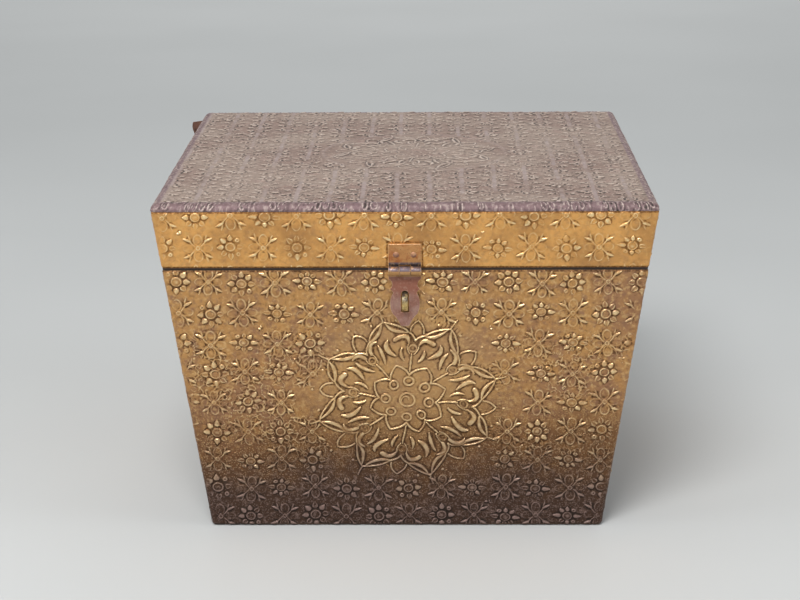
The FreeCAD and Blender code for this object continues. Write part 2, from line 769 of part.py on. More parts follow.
hinge_width = size("hinge_width")
hinge_sheet = size("hinge_sheet")
hinge_barrel = size("hinge_barrel")
hinge_pin = size("hinge_pin")
hinge_out = hinge_barrel / 2 + seat_gap
lid_knuckle = size("hinge_knuckle") / 2 - seat_gap / 2
case_knuckle = size("hinge_knuckle") / 2 + seat_gap / 2
hinges = {}
for name, side in (("left", 1), ("right", -1)):
    across = side * size("hinge_spacing") / 2
    hinge = {
        "case_screws": pair_of_screws(
            f"{name}_case_screws", "hinge", -size("hinge_screw_rise"), hinge_sheet
        ),
        "lid_screws": pair_of_screws(
            f"{name}_lid_screws", "hinge", size("hinge_screw_rise"), hinge_sheet
        ),
        "case_leaf": leaf(
            f"{name}_hinge_case_leaf", hinge_sheet, hinge_barrel, hinge_width, size("hinge_leaf_rise"),
            size("hinge_corner"), [(-hinge_width / 2, -case_knuckle), (case_knuckle, hinge_width / 2)],
            hinge_pin, -1,
        ),
        "lid_leaf": leaf(
            f"{name}_hinge_lid_leaf", hinge_sheet, hinge_barrel, hinge_width, size("hinge_leaf_rise"),
            size("hinge_corner"), [(-lid_knuckle, lid_knuckle)], hinge_pin + 2 * size("pin_gap"), 1,
        ),
        "pin": group(f"{name}_hinge_pin", [
            rod(f"{name}_hinge_pin_rod", hinge_pin, (-hinge_width / 2, -hinge_out, zero), hinge_width)
        ]),
    }
    hinges[name] = {piece: on_face(thing, BACK, across) for piece, thing in hinge.items()}
hinge_case_screws = group("hinge_case_screws", [hinges[name]["case_screws"] for name in hinges])
hinge_lid_screws = group("hinge_lid_screws", [hinges[name]["lid_screws"] for name in hinges])


# Lug: a scalloped upright plate on a foot that is nailed to the lid's left side

lug_sheet = size("lug_sheet")
lug_height = size("lug_height")
lug_foot = size("lug_foot")
lug_base = joint_height + size("lug_rise")
lug_back_face = half_width(lug_base)
lug_across = size("lug_back") - lug_back_face
lug_foot_box = box(
    "lug_foot_box", (-lug_foot / 2, -lug_sheet, zero), (lug_foot / 2, zero, lug_height)
)
lug_plate = plate("lug_plate", [
    (zero, zero, None),
    (-size("lug_low_reach"), size("lug_low_rise"), None),
    (-size("lug_waist_reach"), size("lug_waist_rise"), -size("lug_low_sag")),
    (-size("lug_top_reach"), lug_height, -size("lug_top_sag")),
    (zero, lug_height, None),
], zero, lug_sheet)
lug_back_end = lug_back_face - size("lug_back") + lug_foot / 2
lug_upright = turned(
    group("lug_upright", [lug_plate]),
    (-half_width(lug_base), lug_back_end - lug_sheet, lug_base), [((0, 1, 0), -lean)],
)
lug_foot_on_side = on_face(group("lug_foot", [lug_foot_box]), LEFT, lug_across, lug_base)
lug_shape = fuse("lug_shape", [lug_foot_on_side, lug_upright])
lug_nails = on_face(
    pair_of_screws("lug_nails", "lug", lug_height / 2, lug_sheet), LEFT, lug_across, lug_base
)
side_lug = cut("side_lug", lug_shape, lug_nails)


# Every piece under its own name. What a screw, nail or staple passes through has its hole.

def pierced(label, solid, tools):
    if not tools:
        return named(label, solid)
    tool = tools[0] if len(tools) == 1 else group(label + "_holes", tools)
    return cut(label, solid, tool)


def named(label, solid):
    return group(label, [solid])


def embossed(side, tools):
    """A case sheet with its holes, raised into the work of its side.

    Part's own fuse is used here because the document's fuses lose the slenderest leaves."""
    turn, edge, has_medallion, covered = embossed_sides[side]
    work = on_face(embossed_work(f"case_{side}_work", edge, has_medallion, covered), turn)
    plain = pierced(f"{side}_cladding_plain", case_sheets[side], tools)
    doc.recompute()
    raised = doc.addObject("Part::Feature", f"{side}_cladding")
    raised.Shape = plain.Shape.fuse(work.Shape)
    return raised


pieces = {
    "bottom_board": bottom_board,
    "front_board": pierced("front_board", case_boards["front"], [staple]),
    "back_board": pierced("back_board", case_boards["back"], [hinge_case_screws]),
    "left_board": named("left_board", case_boards["left"]),
    "right_board": named("right_board", case_boards["right"]),
    "front_cladding": embossed("front", [staple]),
    "back_cladding": embossed("back", [hinge_case_screws]),
    "left_cladding": embossed("left", []),
    "right_cladding": embossed("right", []),
    "staple": staple,
    "hinge_case_screws": hinge_case_screws,
    "lid_top_board": lid_top_board,
    "lid_front_rail": pierced("lid_front_rail", lid_rails["front"], [hasp_screws]),
    "lid_back_rail": pierced("lid_back_rail", lid_rails["back"], [hinge_lid_screws, lug_nails]),
    "lid_left_rail": pierced("lid_left_rail", lid_rails["left"], [lug_nails]),
    "lid_right_rail": named("lid_right_rail", lid_rails["right"]),
    "lid_top_cladding": lid_top_cladding,
    "lid_front_cladding": pierced("lid_front_cladding", lid_sheets["front"], [hasp_screws]),
    "lid_back_cladding": pierced("lid_back_cladding", lid_sheets["back"], [hinge_lid_screws, lug_nails]),
    "lid_left_cladding": pierced("lid_left_cladding", lid_sheets["left"], [lug_nails]),
    "lid_right_cladding": named("lid_right_cladding", lid_sheets["right"]),
    "hinge_lid_screws": hinge_lid_screws,
    "hasp_leaf": hasp_leaf,
    "hasp_screws": hasp_screws,
    "hasp_pin": hasp_pin_solid,
    "hasp_strap": hasp_strap,
    "side_lug": side_lug,
    "lug_nails": lug_nails,
}
for name, hinge in hinges.items():
    pieces[f"{name}_hinge_case_leaf"] = pierced(
        f"{name}_hinge_case_leaf", hinge["case_leaf"], [hinge["case_screws"]]
    )
    pieces[f"{name}_hinge_lid_leaf"] = pierced(
        f"{name}_hinge_lid_leaf", hinge["lid_leaf"], [hinge["lid_screws"]]
    )
    pieces[f"{name}_hinge_pin"] = hinge["pin"]

doc.recompute()
for thing in doc.Objects:
    if "Invalid" in thing.State or "Error" in thing.State:
        raise RuntimeError(f"{thing.Label} did not recompute: {thing.State}")
for label, piece in pieces.items():
    piece.Label = label
    if piece.Shape.isNull() or not piece.Shape.isValid() or not piece.Shape.Solids:
        raise RuntimeError(f"{label} has no valid solid")

os.makedirs("parts", exist_ok=True)
for label, piece in pieces.items():
    piece.Shape.exportStep(f"parts/{label}.step")

hinge_y = half_width(joint_height) + hinge_out * cosine(lean)
hinge_z = joint_height - hinge_out * sine(lean)
print(f"lean {lean.value:.4f} degrees, lid top at {lid_top.value:.3f}")
print(f"lid turns about y {hinge_y.value:.4f}, z {hinge_z.value:.4f}")
print(f"strap turns about y {pin_y.value:.4f}, z {pin_z.value:.4f}")
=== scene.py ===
"""Looks of the damchiya chest: embossed brass sheet over wood, and its worn hasp and hinges.

Lengths are millimetres until a mesh or a node takes them. Each embossed sheet is a grid of points
whose height over the plain sheet is drawn with lines, petals and beads.
"""

import math

import bmesh
import bpy
import numpy as np
from bpy.props import FloatProperty, FloatVectorProperty, PointerProperty
from mathutils import Matrix, Vector


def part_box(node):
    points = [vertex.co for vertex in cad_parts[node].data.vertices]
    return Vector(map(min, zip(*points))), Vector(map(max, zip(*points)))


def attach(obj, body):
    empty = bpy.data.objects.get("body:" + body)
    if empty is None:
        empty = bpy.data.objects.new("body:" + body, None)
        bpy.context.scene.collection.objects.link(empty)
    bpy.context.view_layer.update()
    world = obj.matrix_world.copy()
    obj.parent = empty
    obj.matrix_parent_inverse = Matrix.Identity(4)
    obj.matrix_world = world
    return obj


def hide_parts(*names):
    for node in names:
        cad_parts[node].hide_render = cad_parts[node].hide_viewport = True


bl_info = {
    "name": "Damchiya Chest",
    "version": (1, 0, 0),
    "blender": (4, 5, 0),
    "location": "3D View > Sidebar > Chest",
    "description": "Dresses the chest's frame in embossed brass, bare wood and worn hardware",
    "category": "Add Mesh",
}

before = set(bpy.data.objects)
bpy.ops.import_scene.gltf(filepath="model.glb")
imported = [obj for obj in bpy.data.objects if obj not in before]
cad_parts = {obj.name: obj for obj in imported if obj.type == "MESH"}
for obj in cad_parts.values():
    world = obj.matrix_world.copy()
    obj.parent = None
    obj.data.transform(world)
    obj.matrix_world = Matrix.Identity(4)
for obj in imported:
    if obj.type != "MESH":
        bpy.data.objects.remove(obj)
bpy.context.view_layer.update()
MM = 0.001


# Measures taken from the frame

def node_box(node):
    """Lowest and highest corner of a node, in millimetres."""
    low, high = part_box(node)
    return np.array(low) / MM, np.array(high) / MM


def leaning_face(node):
    """Run out per rise, and reach at floor level, of the largest face that looks to the front."""
    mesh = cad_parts[node].data
    face = max(mesh.polygons, key=lambda side: -side.normal.y * side.area)
    run = face.normal.z / face.normal.y
    corner = mesh.vertices[face.vertices[0]].co / MM
    return run, -corner.y - run * corner.z


LEAN_RUN, FLOOR_REACH = leaning_face("front_cladding")
LEAN = math.atan(LEAN_RUN)


def reach(height):
    """Half the outside width of the chest at a height."""
    return FLOOR_REACH + LEAN_RUN * height


case_low, case_high = node_box("front_cladding")
lid_low, lid_high = node_box("lid_front_cladding")
top_low, top_high = node_box("lid_top_cladding")
side_reach = node_box("left_cladding")[1]
leaf_low, leaf_high = node_box("hasp_leaf")
strap_low, strap_high = node_box("hasp_strap")
pin_low, pin_high = node_box("hasp_pin")
loop_low, loop_high = node_box("staple")

# The brass sheet's thickness and the radius of the upright corners over it, as in the solids
SHEET = 0.5
CORNER = 3.0
# Radius of the lid's upper edges, how far the front's sheet is turned onto the sides, and the
# height of the joint of case and lid
TOP_ROUND = top_high[2] - top_low[2]
FOLD = reach(case_high[2]) - side_reach[1]
JOINT = (case_high[2] + lid_low[2]) / 2

# How far each side is turned about the upright axis from the front, in degrees
FRONT, RIGHT, BACK, LEFT = 0, 90, 180, -90


# Shapes that the ornament is drawn with

def smooth(low, high, value):
    """Rises from 0 to 1 between low and high with level ends: 3t² - 2t³."""
    share = np.clip((value - low) / (high - low), 0, 1)
    return share * share * (3 - 2 * share)


def line(distance, half_width):
    """A drawn line's cross-section: the bell exp(-d²) of its distance over its half width."""
    return np.exp(-((distance / half_width) ** 2))


def dome(share):
    """A round boss: the half circle's height sqrt(1 - s²) at a share of its radius."""
    return np.sqrt(np.clip(1 - share * share, 0, 1))


def drop(along, across, length, width):
    """How far inside a teardrop a point lies, 1 on the spine and 0 on the outline.

    It starts round, ends in a point, and is widest a third of the way: the half width is
    2.6 sqrt(t) (1 - t) times half the width."""
    share = np.clip(along / length, 1e-4, 1 - 1e-4)
    half = 1.3 * width * np.sqrt(share) * (1 - share)
    inside = np.clip(1 - (across / half) ** 2, 0, 1)
    return np.where((along > 0) & (along < length), inside, 0)


def stroke(x, y, points, widths, pieces=9):
    """How far inside a brush stroke a point lies, 1 on its line and 0 on its edge.

    The line is a quadratic curve with three control points, cut in short pieces, and its half
    width runs along a quadratic curve too."""
    share = np.linspace(0, 1, pieces + 1)
    blend = np.stack([(1 - share) ** 2, 2 * share * (1 - share), share**2], 1)
    path, half = blend @ np.array(points), blend @ np.array(widths)
    best = np.zeros_like(x)
    for (start, end), (near, far) in zip(zip(path, path[1:]), zip(half, half[1:])):
        run = end - start
        along = np.clip(((x - start[0]) * run[0] + (y - start[1]) * run[1]) / (run @ run), 0, 1)
        away = np.hypot(x - start[0] - along * run[0], y - start[1] - along * run[1])
        best = np.maximum(best, 1 - away / (near + (far - near) * along))
    return best


def raised(inside):
    """Rounds off what lies inside a stroke into a half-round bead."""
    return np.sqrt(np.clip(inside * (2 - inside), 0, 1))


def lattice(column, row, seed):
    """A fixed random number from 0 to 1 for each whole-numbered place. Any number is a seed."""
    mixed = np.sin(column * 12.9898 + row * 78.233 + seed * 37.719) * 43758.5453
    return mixed - np.floor(mixed)


def drift(u, v, spacing, seed):
    """Smooth noise from -1 to 1: random numbers on a square lattice, blended in between."""
    column, row = np.floor(u / spacing), np.floor(v / spacing)
    x, y = smooth(0, 1, u / spacing - column), smooth(0, 1, v / spacing - row)
    low = lattice(column, row, seed) * (1 - x) + lattice(column + 1, row, seed) * x
    high = lattice(column, row + 1, seed) * (1 - x) + lattice(column + 1, row + 1, seed) * x
    return 2 * (low * (1 - y) + high * y) - 1


# Ornament: every length below is a share of the pattern's square cell

def daisy(x, y, luck):
    """A button in a ring, and eight pointed petals round it, some of them pierced in the middle."""
    radius, angle = np.hypot(x, y), np.arctan2(y, x)
    eighth = np.round(angle / (math.pi / 4))
    turn = angle - eighth * math.pi / 4
    along, across = radius * np.cos(turn), radius * np.sin(turn)
    squat = luck > 0.62
    along = along * (1 + 0.28 * squat * np.sin(angle) ** 2)
    chance = lattice(eighth % 8, luck * 91, 5)
    sideways = np.where((eighth % 4 == 0) & squat, 0.27, 0.21)
    petal = drop(along - 0.21, across, sideways, np.where(squat, 0.15, 0.185))
    petal = np.sqrt(petal) * (1 - 0.75 * (chance > 0.6) * smooth(0.55, 0.95, petal))
    ringed = (eighth % 2 == 1) & (chance < 0.3)
    petal = np.where(ringed, line(np.hypot(along - 0.33, across) - 0.045, 0.024), petal)
    button = dome(np.hypot(x, 1.12 * y) / 0.12) * (0.35 + 0.5 * (luck > 0.4))
    rim = line(np.hypot(x, 1.08 * y) - 0.135, 0.022)
    petal = petal * (0.7 + 0.3 * lattice(eighth % 8, luck * 57, 6))
    return np.maximum.reduce([petal, 0.8 * rim, button])


def leaf(x, y, base, angle, length, width):
    """A pointed leaf that starts at a base point and lies at an angle in degrees."""
    turn = math.radians(angle)
    along = (x - base[0]) * math.cos(turn) + (y - base[1]) * math.sin(turn)
    across = (y - base[1]) * math.cos(turn) - (x - base[0]) * math.sin(turn)
    return np.sqrt(drop(along, across, length, width))


def four_petals(x, y, luck):
    """A small ring, four outlined oval petals, and a stem with two leaves on each diagonal."""
    x, y = np.abs(x), np.abs(y)
    radius = np.hypot(x, y)
    ring = np.maximum(line(radius - 0.055, 0.024), 0.8 * dome(radius / 0.04))
    upright = np.hypot(x / 0.125, (y - 0.255) / 0.175)
    level = np.hypot((x - 0.255) / 0.175, y / 0.115)
    ovals = np.maximum(
        0.5 * line((upright - 1) * 0.14, 0.022) + 0.16 * dome(upright),
        0.36 * line((level - 1) * 0.14, 0.022) + 0.12 * dome(level),
    )
    along, aside = (x + y) / math.sqrt(2), (x - y) / math.sqrt(2)
    stem = 0.75 * line(aside - 0.02 * np.sin(along * 9), 0.02) * smooth(0.05, 0.1, along)
    stem = stem * (1 - smooth(0.3, 0.36, along))
    leaves = np.maximum(
        leaf(x, y, (0.2, 0.22), 22, 0.27, 0.09), 0.6 * leaf(x, y, (0.22, 0.26), 72, 0.2, 0.06)
    )
    return np.maximum.reduce([ring, ovals, stem, leaves * (0.75 + 0.25 * luck)])


def florets(u, v, seed):
    """Square cells in a chequer of daisies and four-petalled flowers, a daisy at the origin.

    Each was set by hand, so it is a little off its place, turned and larger or smaller. A few
    corners of the cells have a bead."""
    astray, twist, spread = 0.09, 0.2, 0.14
    beadless, bead_radius = 0.86, 0.045
    column, row = np.round(u), np.round(v)
    luck = lattice(column, row, seed)
    slip, lift = lattice(column, row, seed + 6) - 0.5, lattice(column, row, seed + 7) - 0.5
    turn, size = twist * (luck - 0.5), 1 + spread * (lattice(row, column, seed + 8) - 0.5)
    along, up = u - column - astray * slip, v - row - astray * lift
    x = size * (along * np.cos(turn) - up * np.sin(turn))
    y = size * (along * np.sin(turn) + up * np.cos(turn))
    flower = np.where((column + row) % 2 == 0, daisy(x, y, luck), four_petals(x, y, luck))
    corner = np.hypot(np.abs(x) - 0.5, np.abs(y) - 0.5)
    chance = lattice(np.floor(u), np.floor(v), seed + 3) > beadless
    bead = dome(corner / bead_radius) * chance
    return np.maximum(flower * (0.8 + 0.2 * lattice(row, column, seed + 1)), bead)


def squiggles(u, v, size, seed):
    """Fine wandering lines, where a sum of two noises crosses zero."""
    field = drift(u, v, size, seed) + 0.7 * drift(u + v, v - u, 0.83 * size, seed + 1)
    return line(field, 0.14)


# The medallion's strokes for a sixteenth of its round, x along a notch of its eight-lobed
# star: three control points and three half widths each
LINE_STROKES = [
    ([(0.86, 0.0), (1.05, 0.12), (1.09, 0.45)], (0.028, 0.034, 0.022)),
    ([(0.96, 0.0), (1.2, 0.012), (1.5, 0.0)], (0.02, 0.018, 0.022)),
    ([(1.95, 0.0), (2.1, 0.05), (2.2, 0.27)], (0.026, 0.028, 0.026)),
    ([(2.2, 0.27), (2.46, 0.52), (2.5, 1.03)], (0.026, 0.034, 0.024)),
    ([(2.2, 0.27), (2.14, 0.66), (2.46, 0.95)], (0.022, 0.095, 0.02)),
    ([(2.26, 0.23), (2.52, 0.22), (2.66, 0.0)], (0.022, 0.026, 0.022)),
    ([(2.49, 1.03), (2.62, 1.09), (2.88, 1.19)], (0.024, 0.024, 0.014)),
    ([(1.5, 0.06), (1.66, 0.2), (1.86, 0.14)], (0.016, 0.022, 0.014)),
]
# The scrolls and leaves of a whole lobe, x along its middle
LEAF_STROKES = [
    ([(1.74, -0.56), (2.14, -0.6), (2.02, -0.22)], (0.018, 0.1, 0.075)),
    ([(2.08, 0.0), (1.88, 0.22), (1.48, -0.1)], (0.02, 0.14, 0.024)),
    ([(1.98, 0.32), (1.7, 0.2), (1.34, 0.32)], (0.018, 0.095, 0.02)),
    ([(2.12, 0.34), (2.14, 0.68), (1.78, 0.6)], (0.02, 0.105, 0.055)),
    ([(1.66, -0.34), (1.46, -0.2), (1.24, -0.3)], (0.016, 0.075, 0.018)),
]
# The medallion's turn, its radius in cells, and how much wider than high it is on the sides
MEDALLION_TURN = math.radians(-7)
MEDALLION_REACH = 3.05
ROSE_STRETCH = 1.03


def medallion(x, y):
    """An eight-lobed star with pods round a ring, inside eight arches filled with scrolls.

    The lines are drawn for one sixteenth of the round and the scrolls for one eighth, and the rest
    is their mirror image, turn by turn. The hand that set it out strayed: the whole is pulled
    about a little, and some lobes are shallow."""
    pull = 0.065
    x, y = x + pull * drift(x, y, 0.8, 31), y + pull * drift(x, y, 0.7, 32)
    radius = np.hypot(x, y)
    angle = np.arctan2(y, x) - MEDALLION_TURN
    notch = np.round(angle / (math.pi / 4))
    turn = np.abs(angle - notch * math.pi / 4)
    along, across = radius * np.cos(turn), radius * np.sin(turn)
    swirl = radius - 0.045 * (angle % (2 * math.pi))
    # Rings and a swirl in the middle, and to each notch a ring round a boss, a small ring and beads
    parts = [
        0.6 * line(radius - 0.225, 0.026),
        0.5 * line(swirl - 0.03, 0.024) * (radius < 0.2),
        0.22 * line(radius - 0.38 - 0.04 * np.cos(8 * angle), 0.022),
        line(np.hypot(along - 0.66, across) - 0.135, 0.027),
        0.35 * dome(np.hypot(along - 0.69, across) / 0.085),
        0.45 * line(np.hypot(along - 1.69, across) - 0.11, 0.022),
        0.8 * dome(np.hypot(along - 2.6, across - 0.66) / 0.042),
        0.8 * dome(np.hypot(along - 2.9, across) / 0.042),
    ]
    parts += [0.9 * raised(stroke(along, across, *drawn)) for drawn in LINE_STROKES]
    lobe = np.round(angle / (math.pi / 4) - 0.5)
    lean = angle - (lobe + 0.5) * math.pi / 4
    along, across = radius * np.cos(lean), radius * np.sin(lean) * (1 - 2 * (lobe % 2))
    parts += [1.05 * raised(stroke(along, across, *drawn)) for drawn in LEAF_STROKES]
    hatch = 0.16 * (1 + np.sin(angle * 150)) * line(radius - 2.76, 0.09)
    parts.append(hatch * smooth(-0.3, 0.4, drift(x, y, 0.9, 8)))
    chased = smooth(-0.1, 0.7, drift(x, y, 1.1, 12) - 0.25 * y) * (radius > 1.2)
    parts.append(0.3 * chased * squiggles(x, y, 0.17, 13))
    drawn = np.maximum.reduce(parts)
    return drawn * (0.95 + 0.3 * drift(x, y, 0.6, 9) - 0.16 * lattice(notch % 8, 0, 10))


def softened(field, reach_in_samples):
    """Mean of a field over a square, three times over, by running sums along each axis."""
    for _ in range(3):
        for axis in (0, 1):
            pad = [(0, 0), (0, 0)]
            pad[axis] = (reach_in_samples + 1, reach_in_samples)
            sums = np.cumsum(np.pad(field, pad, mode="edge"), axis=axis)
            span = 2 * reach_in_samples + 1
            far = np.take(sums, range(span, sums.shape[axis]), axis=axis)
            near = np.take(sums, range(sums.shape[axis] - span), axis=axis)
            field = (far - near) / span
    return field


# Meshes

def grid_faces(columns, rows, first, flipped=False):
    """Quads of a grid whose points are numbered down its rows, column by column."""
    corner = first + (np.arange(columns - 1)[:, None] * rows + np.arange(rows - 1)).ravel()
    quads = np.stack([corner, corner + rows, corner + rows + 1, corner + 1], 1)
    return quads[:, ::-1] if flipped else quads


def mesh_object(name, points, faces, smooth_faces=None):
    """A mesh object of points in millimetres and faces of any number of corners."""
    mesh = bpy.data.meshes.new(name)
    sizes = np.array([len(face) for face in faces], np.int32)
    mesh.vertices.add(len(points))
    mesh.vertices.foreach_set("co", (np.asarray(points) * MM).astype(np.float32).ravel())
    mesh.loops.add(int(sizes.sum()))
    mesh.loops.foreach_set("vertex_index", np.concatenate(faces).astype(np.int32))
    mesh.polygons.add(len(sizes))
    mesh.polygons.foreach_set("loop_start", np.concatenate([[0], np.cumsum(sizes)[:-1]]))
    if smooth_faces is not None:
        mesh.polygons.foreach_set("use_smooth", smooth_faces)
    mesh.update(calc_edges=True)
    made = bpy.data.objects.new(name, mesh)
    bpy.context.scene.collection.objects.link(made)
    return made


def unwrap(mesh, columns, rows, few):
    """A UV map, OFBake, in which no two of a sheet's faces overlap.

    The outer grid lies flat in the upper nine tenths of the square. Below it lie strips: the inner
    grid, the two long walls one above the other, and the two ends side by side."""
    margin = 0.002
    outer_low, outer_tall = 0.1, 0.898
    inner_low, inner_tall = margin, 0.048
    wall_low, wall_tall, wall_apart = 0.06, 0.008, 0.012
    end_low, end_tall, end_wide, end_apart = 0.084, 0.01, 0.49, 0.506

    share = np.linspace(margin, 1 - margin, columns)
    u = np.concatenate([np.repeat(share, rows), np.repeat(share, few)])
    tall, low = np.linspace(0, 1, rows), np.linspace(0, 1, few)
    height = np.concatenate([np.tile(tall, columns), np.tile(low, columns)])
    corners = np.zeros(len(mesh.loops), np.int32)
    mesh.loops.foreach_get("vertex_index", corners)
    is_outer = corners < columns * rows
    upper = outer_low + outer_tall * height[corners]
    lower = inner_low + inner_tall * height[corners]
    spread = np.stack([u[corners], np.where(is_outer, upper, lower)], 1)

    grids = 4 * (columns - 1) * (rows + few - 2)
    wall, cap = 4 * (columns - 1), rows + few
    for number in (0, 1):
        own = slice(grids + wall * number, grids + wall * (number + 1))
        spread[own, 1] = wall_low + wall_apart * number + wall_tall * is_outer[own]
        start = grids + 2 * wall + cap * number
        own = slice(start, start + cap)
        spread[own, 0] = margin + end_apart * number + end_wide * height[corners[own]]
        spread[own, 1] = end_low + end_tall * is_outer[own]
    unwrapped = mesh.uv_layers.new(name="OFBake")
    unwrapped.uv.foreach_set("vector", spread.astype(np.float32).ravel())


def sheet_object(name, outer, normals, inner, marks):
    """A closed thin sheet: a fine outer grid, an inner one that shares its columns, and four walls.

    Both grids run column by column, with columns to the right and rows up as seen from outside.
    marks are the outer grid's named values from 0 to 1."""
    columns, rows = outer.shape[:2]
    few = inner.shape[1]
    first = columns * rows
    top, ends = np.arange(columns) * rows, first + np.arange(columns) * few
    to_last_row = [rows - 1, rows - 1, few - 1, few - 1]
    walls = [
        np.stack([top[1:], top[:-1], ends[:-1], ends[1:]], 1),
        np.stack([top[:-1], top[1:], ends[1:], ends[:-1]], 1) + to_last_row,
    ]
    last, last_inner = (columns - 1) * rows, first + (columns - 1) * few
    left = np.concatenate([np.arange(rows), first + np.arange(few)[::-1]])
    right = np.concatenate([last + np.arange(rows)[::-1], last_inner + np.arange(few)])
    fine = grid_faces(columns, rows, 0)
    rest = [grid_faces(columns, few, first, flipped=True), *walls]
    faces = [*fine, *np.concatenate(rest), left, right]
    is_smooth = np.zeros(len(faces), bool)
    is_smooth[: len(fine)] = True
    points = np.concatenate([outer.reshape(-1, 3), inner.reshape(-1, 3)])
    made = mesh_object(name, points, faces, is_smooth)
    for mark, values in marks.items():
        attribute = made.data.attributes.new(mark, "FLOAT", "POINT")
        spread = np.concatenate([values.ravel(), np.zeros(columns * few)]).astype(np.float32)
        attribute.data.foreach_set("value", spread)
    unwrap(made.data, columns, rows, few)
    own = np.zeros((len(made.data.vertices), 3), np.float32)
    own[:first] = normals.reshape(-1, 3)
    made.data.normals_split_custom_set_from_vertices(own)
    return made


def in_strips(name, node, body, slot, material, pieces, outer, normals, inner, marks):
    """Adds a sheet as a number of upright strips, which keep each mesh small."""
    cuts = np.linspace(0, len(outer) - 1, pieces + 1).round().astype(int)
    for number, (start, end) in enumerate(zip(cuts, cuts[1:] + 1), 1):
        part = sheet_object(
            f"{name}_{number}" if pieces > 1 else name,
            outer[start:end], normals[start:end], inner[start:end],
            {mark: values[start:end] for mark, values in marks.items()},
        )
        part.data.materials.append(material)
        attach(part, body)
        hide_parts(node)


def turned(points, angle):
    """Points turned about the upright axis by whole quarters, in degrees."""
    c, s = round(math.cos(math.radians(angle))), round(math.sin(math.radians(angle)))
    x, y, z = np.moveaxis(points, -1, 0)
    return np.stack([c * x - s * y, s * x + c * y, z], -1)


def surface_normals(points):
    """Unit normals of a grid of points: the cross product of its two slopes."""
    normal = np.cross(np.gradient(points, axis=0), np.gradient(points, axis=1))
    return normal / np.linalg.norm(normal, axis=-1, keepdims=True)


def sampled(start, end, step):
    """Evenly spaced numbers from start to end, about a step apart."""
    return np.linspace(start, end, max(2, round(abs(end - start) / step) + 1))


# Sheets of the four sides

def side_rows(low, high, step, foot=None, head=None):
    """Heights, reaches and tilts of a side sheet's rows, from its lower edge to its upper one.

    foot is (radius, centre height) of the rounded lower edge and head of the rounded upper one:
    round both, the reach is the centre's plus the radius, at a tilt from level."""
    foot_rows, head_rows = 5, 3

    def rounded(radius, height, tilt):
        """Rows round a turned edge."""
        centre = reach(height) - radius / math.cos(LEAN)
        return height - radius * np.sin(tilt), centre + radius * np.cos(tilt), tilt

    parts = []
    if foot:
        radius, height = foot
        lowest = math.asin((height - low) / radius)
        parts.append(rounded(*foot, np.linspace(lowest, LEAN, foot_rows + 1)[:-1]))
        low = height - radius * math.sin(LEAN)
    top = head[1] - head[0] * math.sin(LEAN) if head else high
    straight = sampled(low, top, step * math.cos(LEAN))
    parts.append((straight, reach(straight), np.full_like(straight, LEAN)))
    if head:
        parts.append(rounded(*head, np.linspace(LEAN, 0, head_rows + 1)[1:]))
    return [np.concatenate(part) for part in zip(*parts)]


def side_columns(top_reach, step, wraps):
    """Share of the flat, turn round the corner and length past it, for each column of a sheet."""
    flat = np.linspace(-1, 1, round(2 * top_reach / step) + 1)
    if not wraps:
        return flat, np.zeros_like(flat), np.zeros_like(flat)
    arc = np.linspace(0, math.pi / 2, round(CORNER * math.pi / 2 / step) + 1)[1:]
    tail = sampled(0, FOLD - CORNER, step)[1:]
    side = len(arc) + len(tail)
    share = np.concatenate([np.full(side, -1), flat, np.full(side, 1)])
    bend = np.concatenate([arc, np.full(len(tail), math.pi / 2)])
    past = np.concatenate([np.zeros(len(arc)), tail])
    return (
        share,
        np.concatenate([-bend[::-1], np.zeros(len(flat)), bend]),
        np.concatenate([past[::-1], np.zeros(len(flat)), past]),
    )


def side_points(columns, rows, wraps, out):
    """Points of a front sheet that stands out of the plain one by out, along its normal.

    Across, a column lies at its share of the flat, or round the corner's arc, or straight back
    past it. Up, a row has its own reach, and its normal tilts down from level."""
    share, bend, past = (values[:, None] for values in columns)
    height, row_reach, tilt = (values[None, :] for values in rows)
    inset = CORNER if wraps else FOLD
    radius = CORNER + out * np.cos(tilt)
    x = share * (row_reach - inset) + np.sin(bend) * radius
    y = CORNER - row_reach - np.cos(bend) * radius + past
    z = height - out * np.sin(tilt)
    return np.stack(np.broadcast_arrays(x, y, z), -1)


def unrolled(columns, rows, wraps):
    """Lengths across and up on the flat sheet before it was bent, from its middle and the floor."""
    share, bend, past = (values[:, None] for values in columns)
    height, row_reach, _ = (values[None, :] for values in rows)
    inset = CORNER if wraps else FOLD
    across = share * (row_reach - inset) + bend * CORNER + np.sign(bend) * past
    return across, np.broadcast_to(height / math.cos(LEAN), across.shape)


def edge_fade(across, up, width):
    """0 on the sheet's four edges and 1 from a width inwards."""
    inwards = np.minimum.reduce([
        across - across[:1], across[-1:] - across, up - up[:, :1], up[:, -1:] - up
    ])
    return smooth(0, width, inwards)


def pattern_marks(height, step):
    """Where raised work is painted lighter, for rubbed wear and a painted highlight, and hollows
    darker,
    for dirt and painted shade: its height over its own mean nearby.

    One mean reaches as far as a line is wide, the other as far as a petal."""
    over, wide = (
        height - softened(height, max(1, round(away / step))) for away in (0.9, 2.4)
    )
    # Raised work is painted lighter, for rubbed wear and a painted highlight; the hollows round it
    # darker, for dirt and painted shade
    return {
        "rubbed": smooth(0.06, 0.44, over + 0.35 * wide),
        "hollow": smooth(0.015, 0.22, -over) + 0.35 * smooth(0.05, 0.4, -wide),
    }


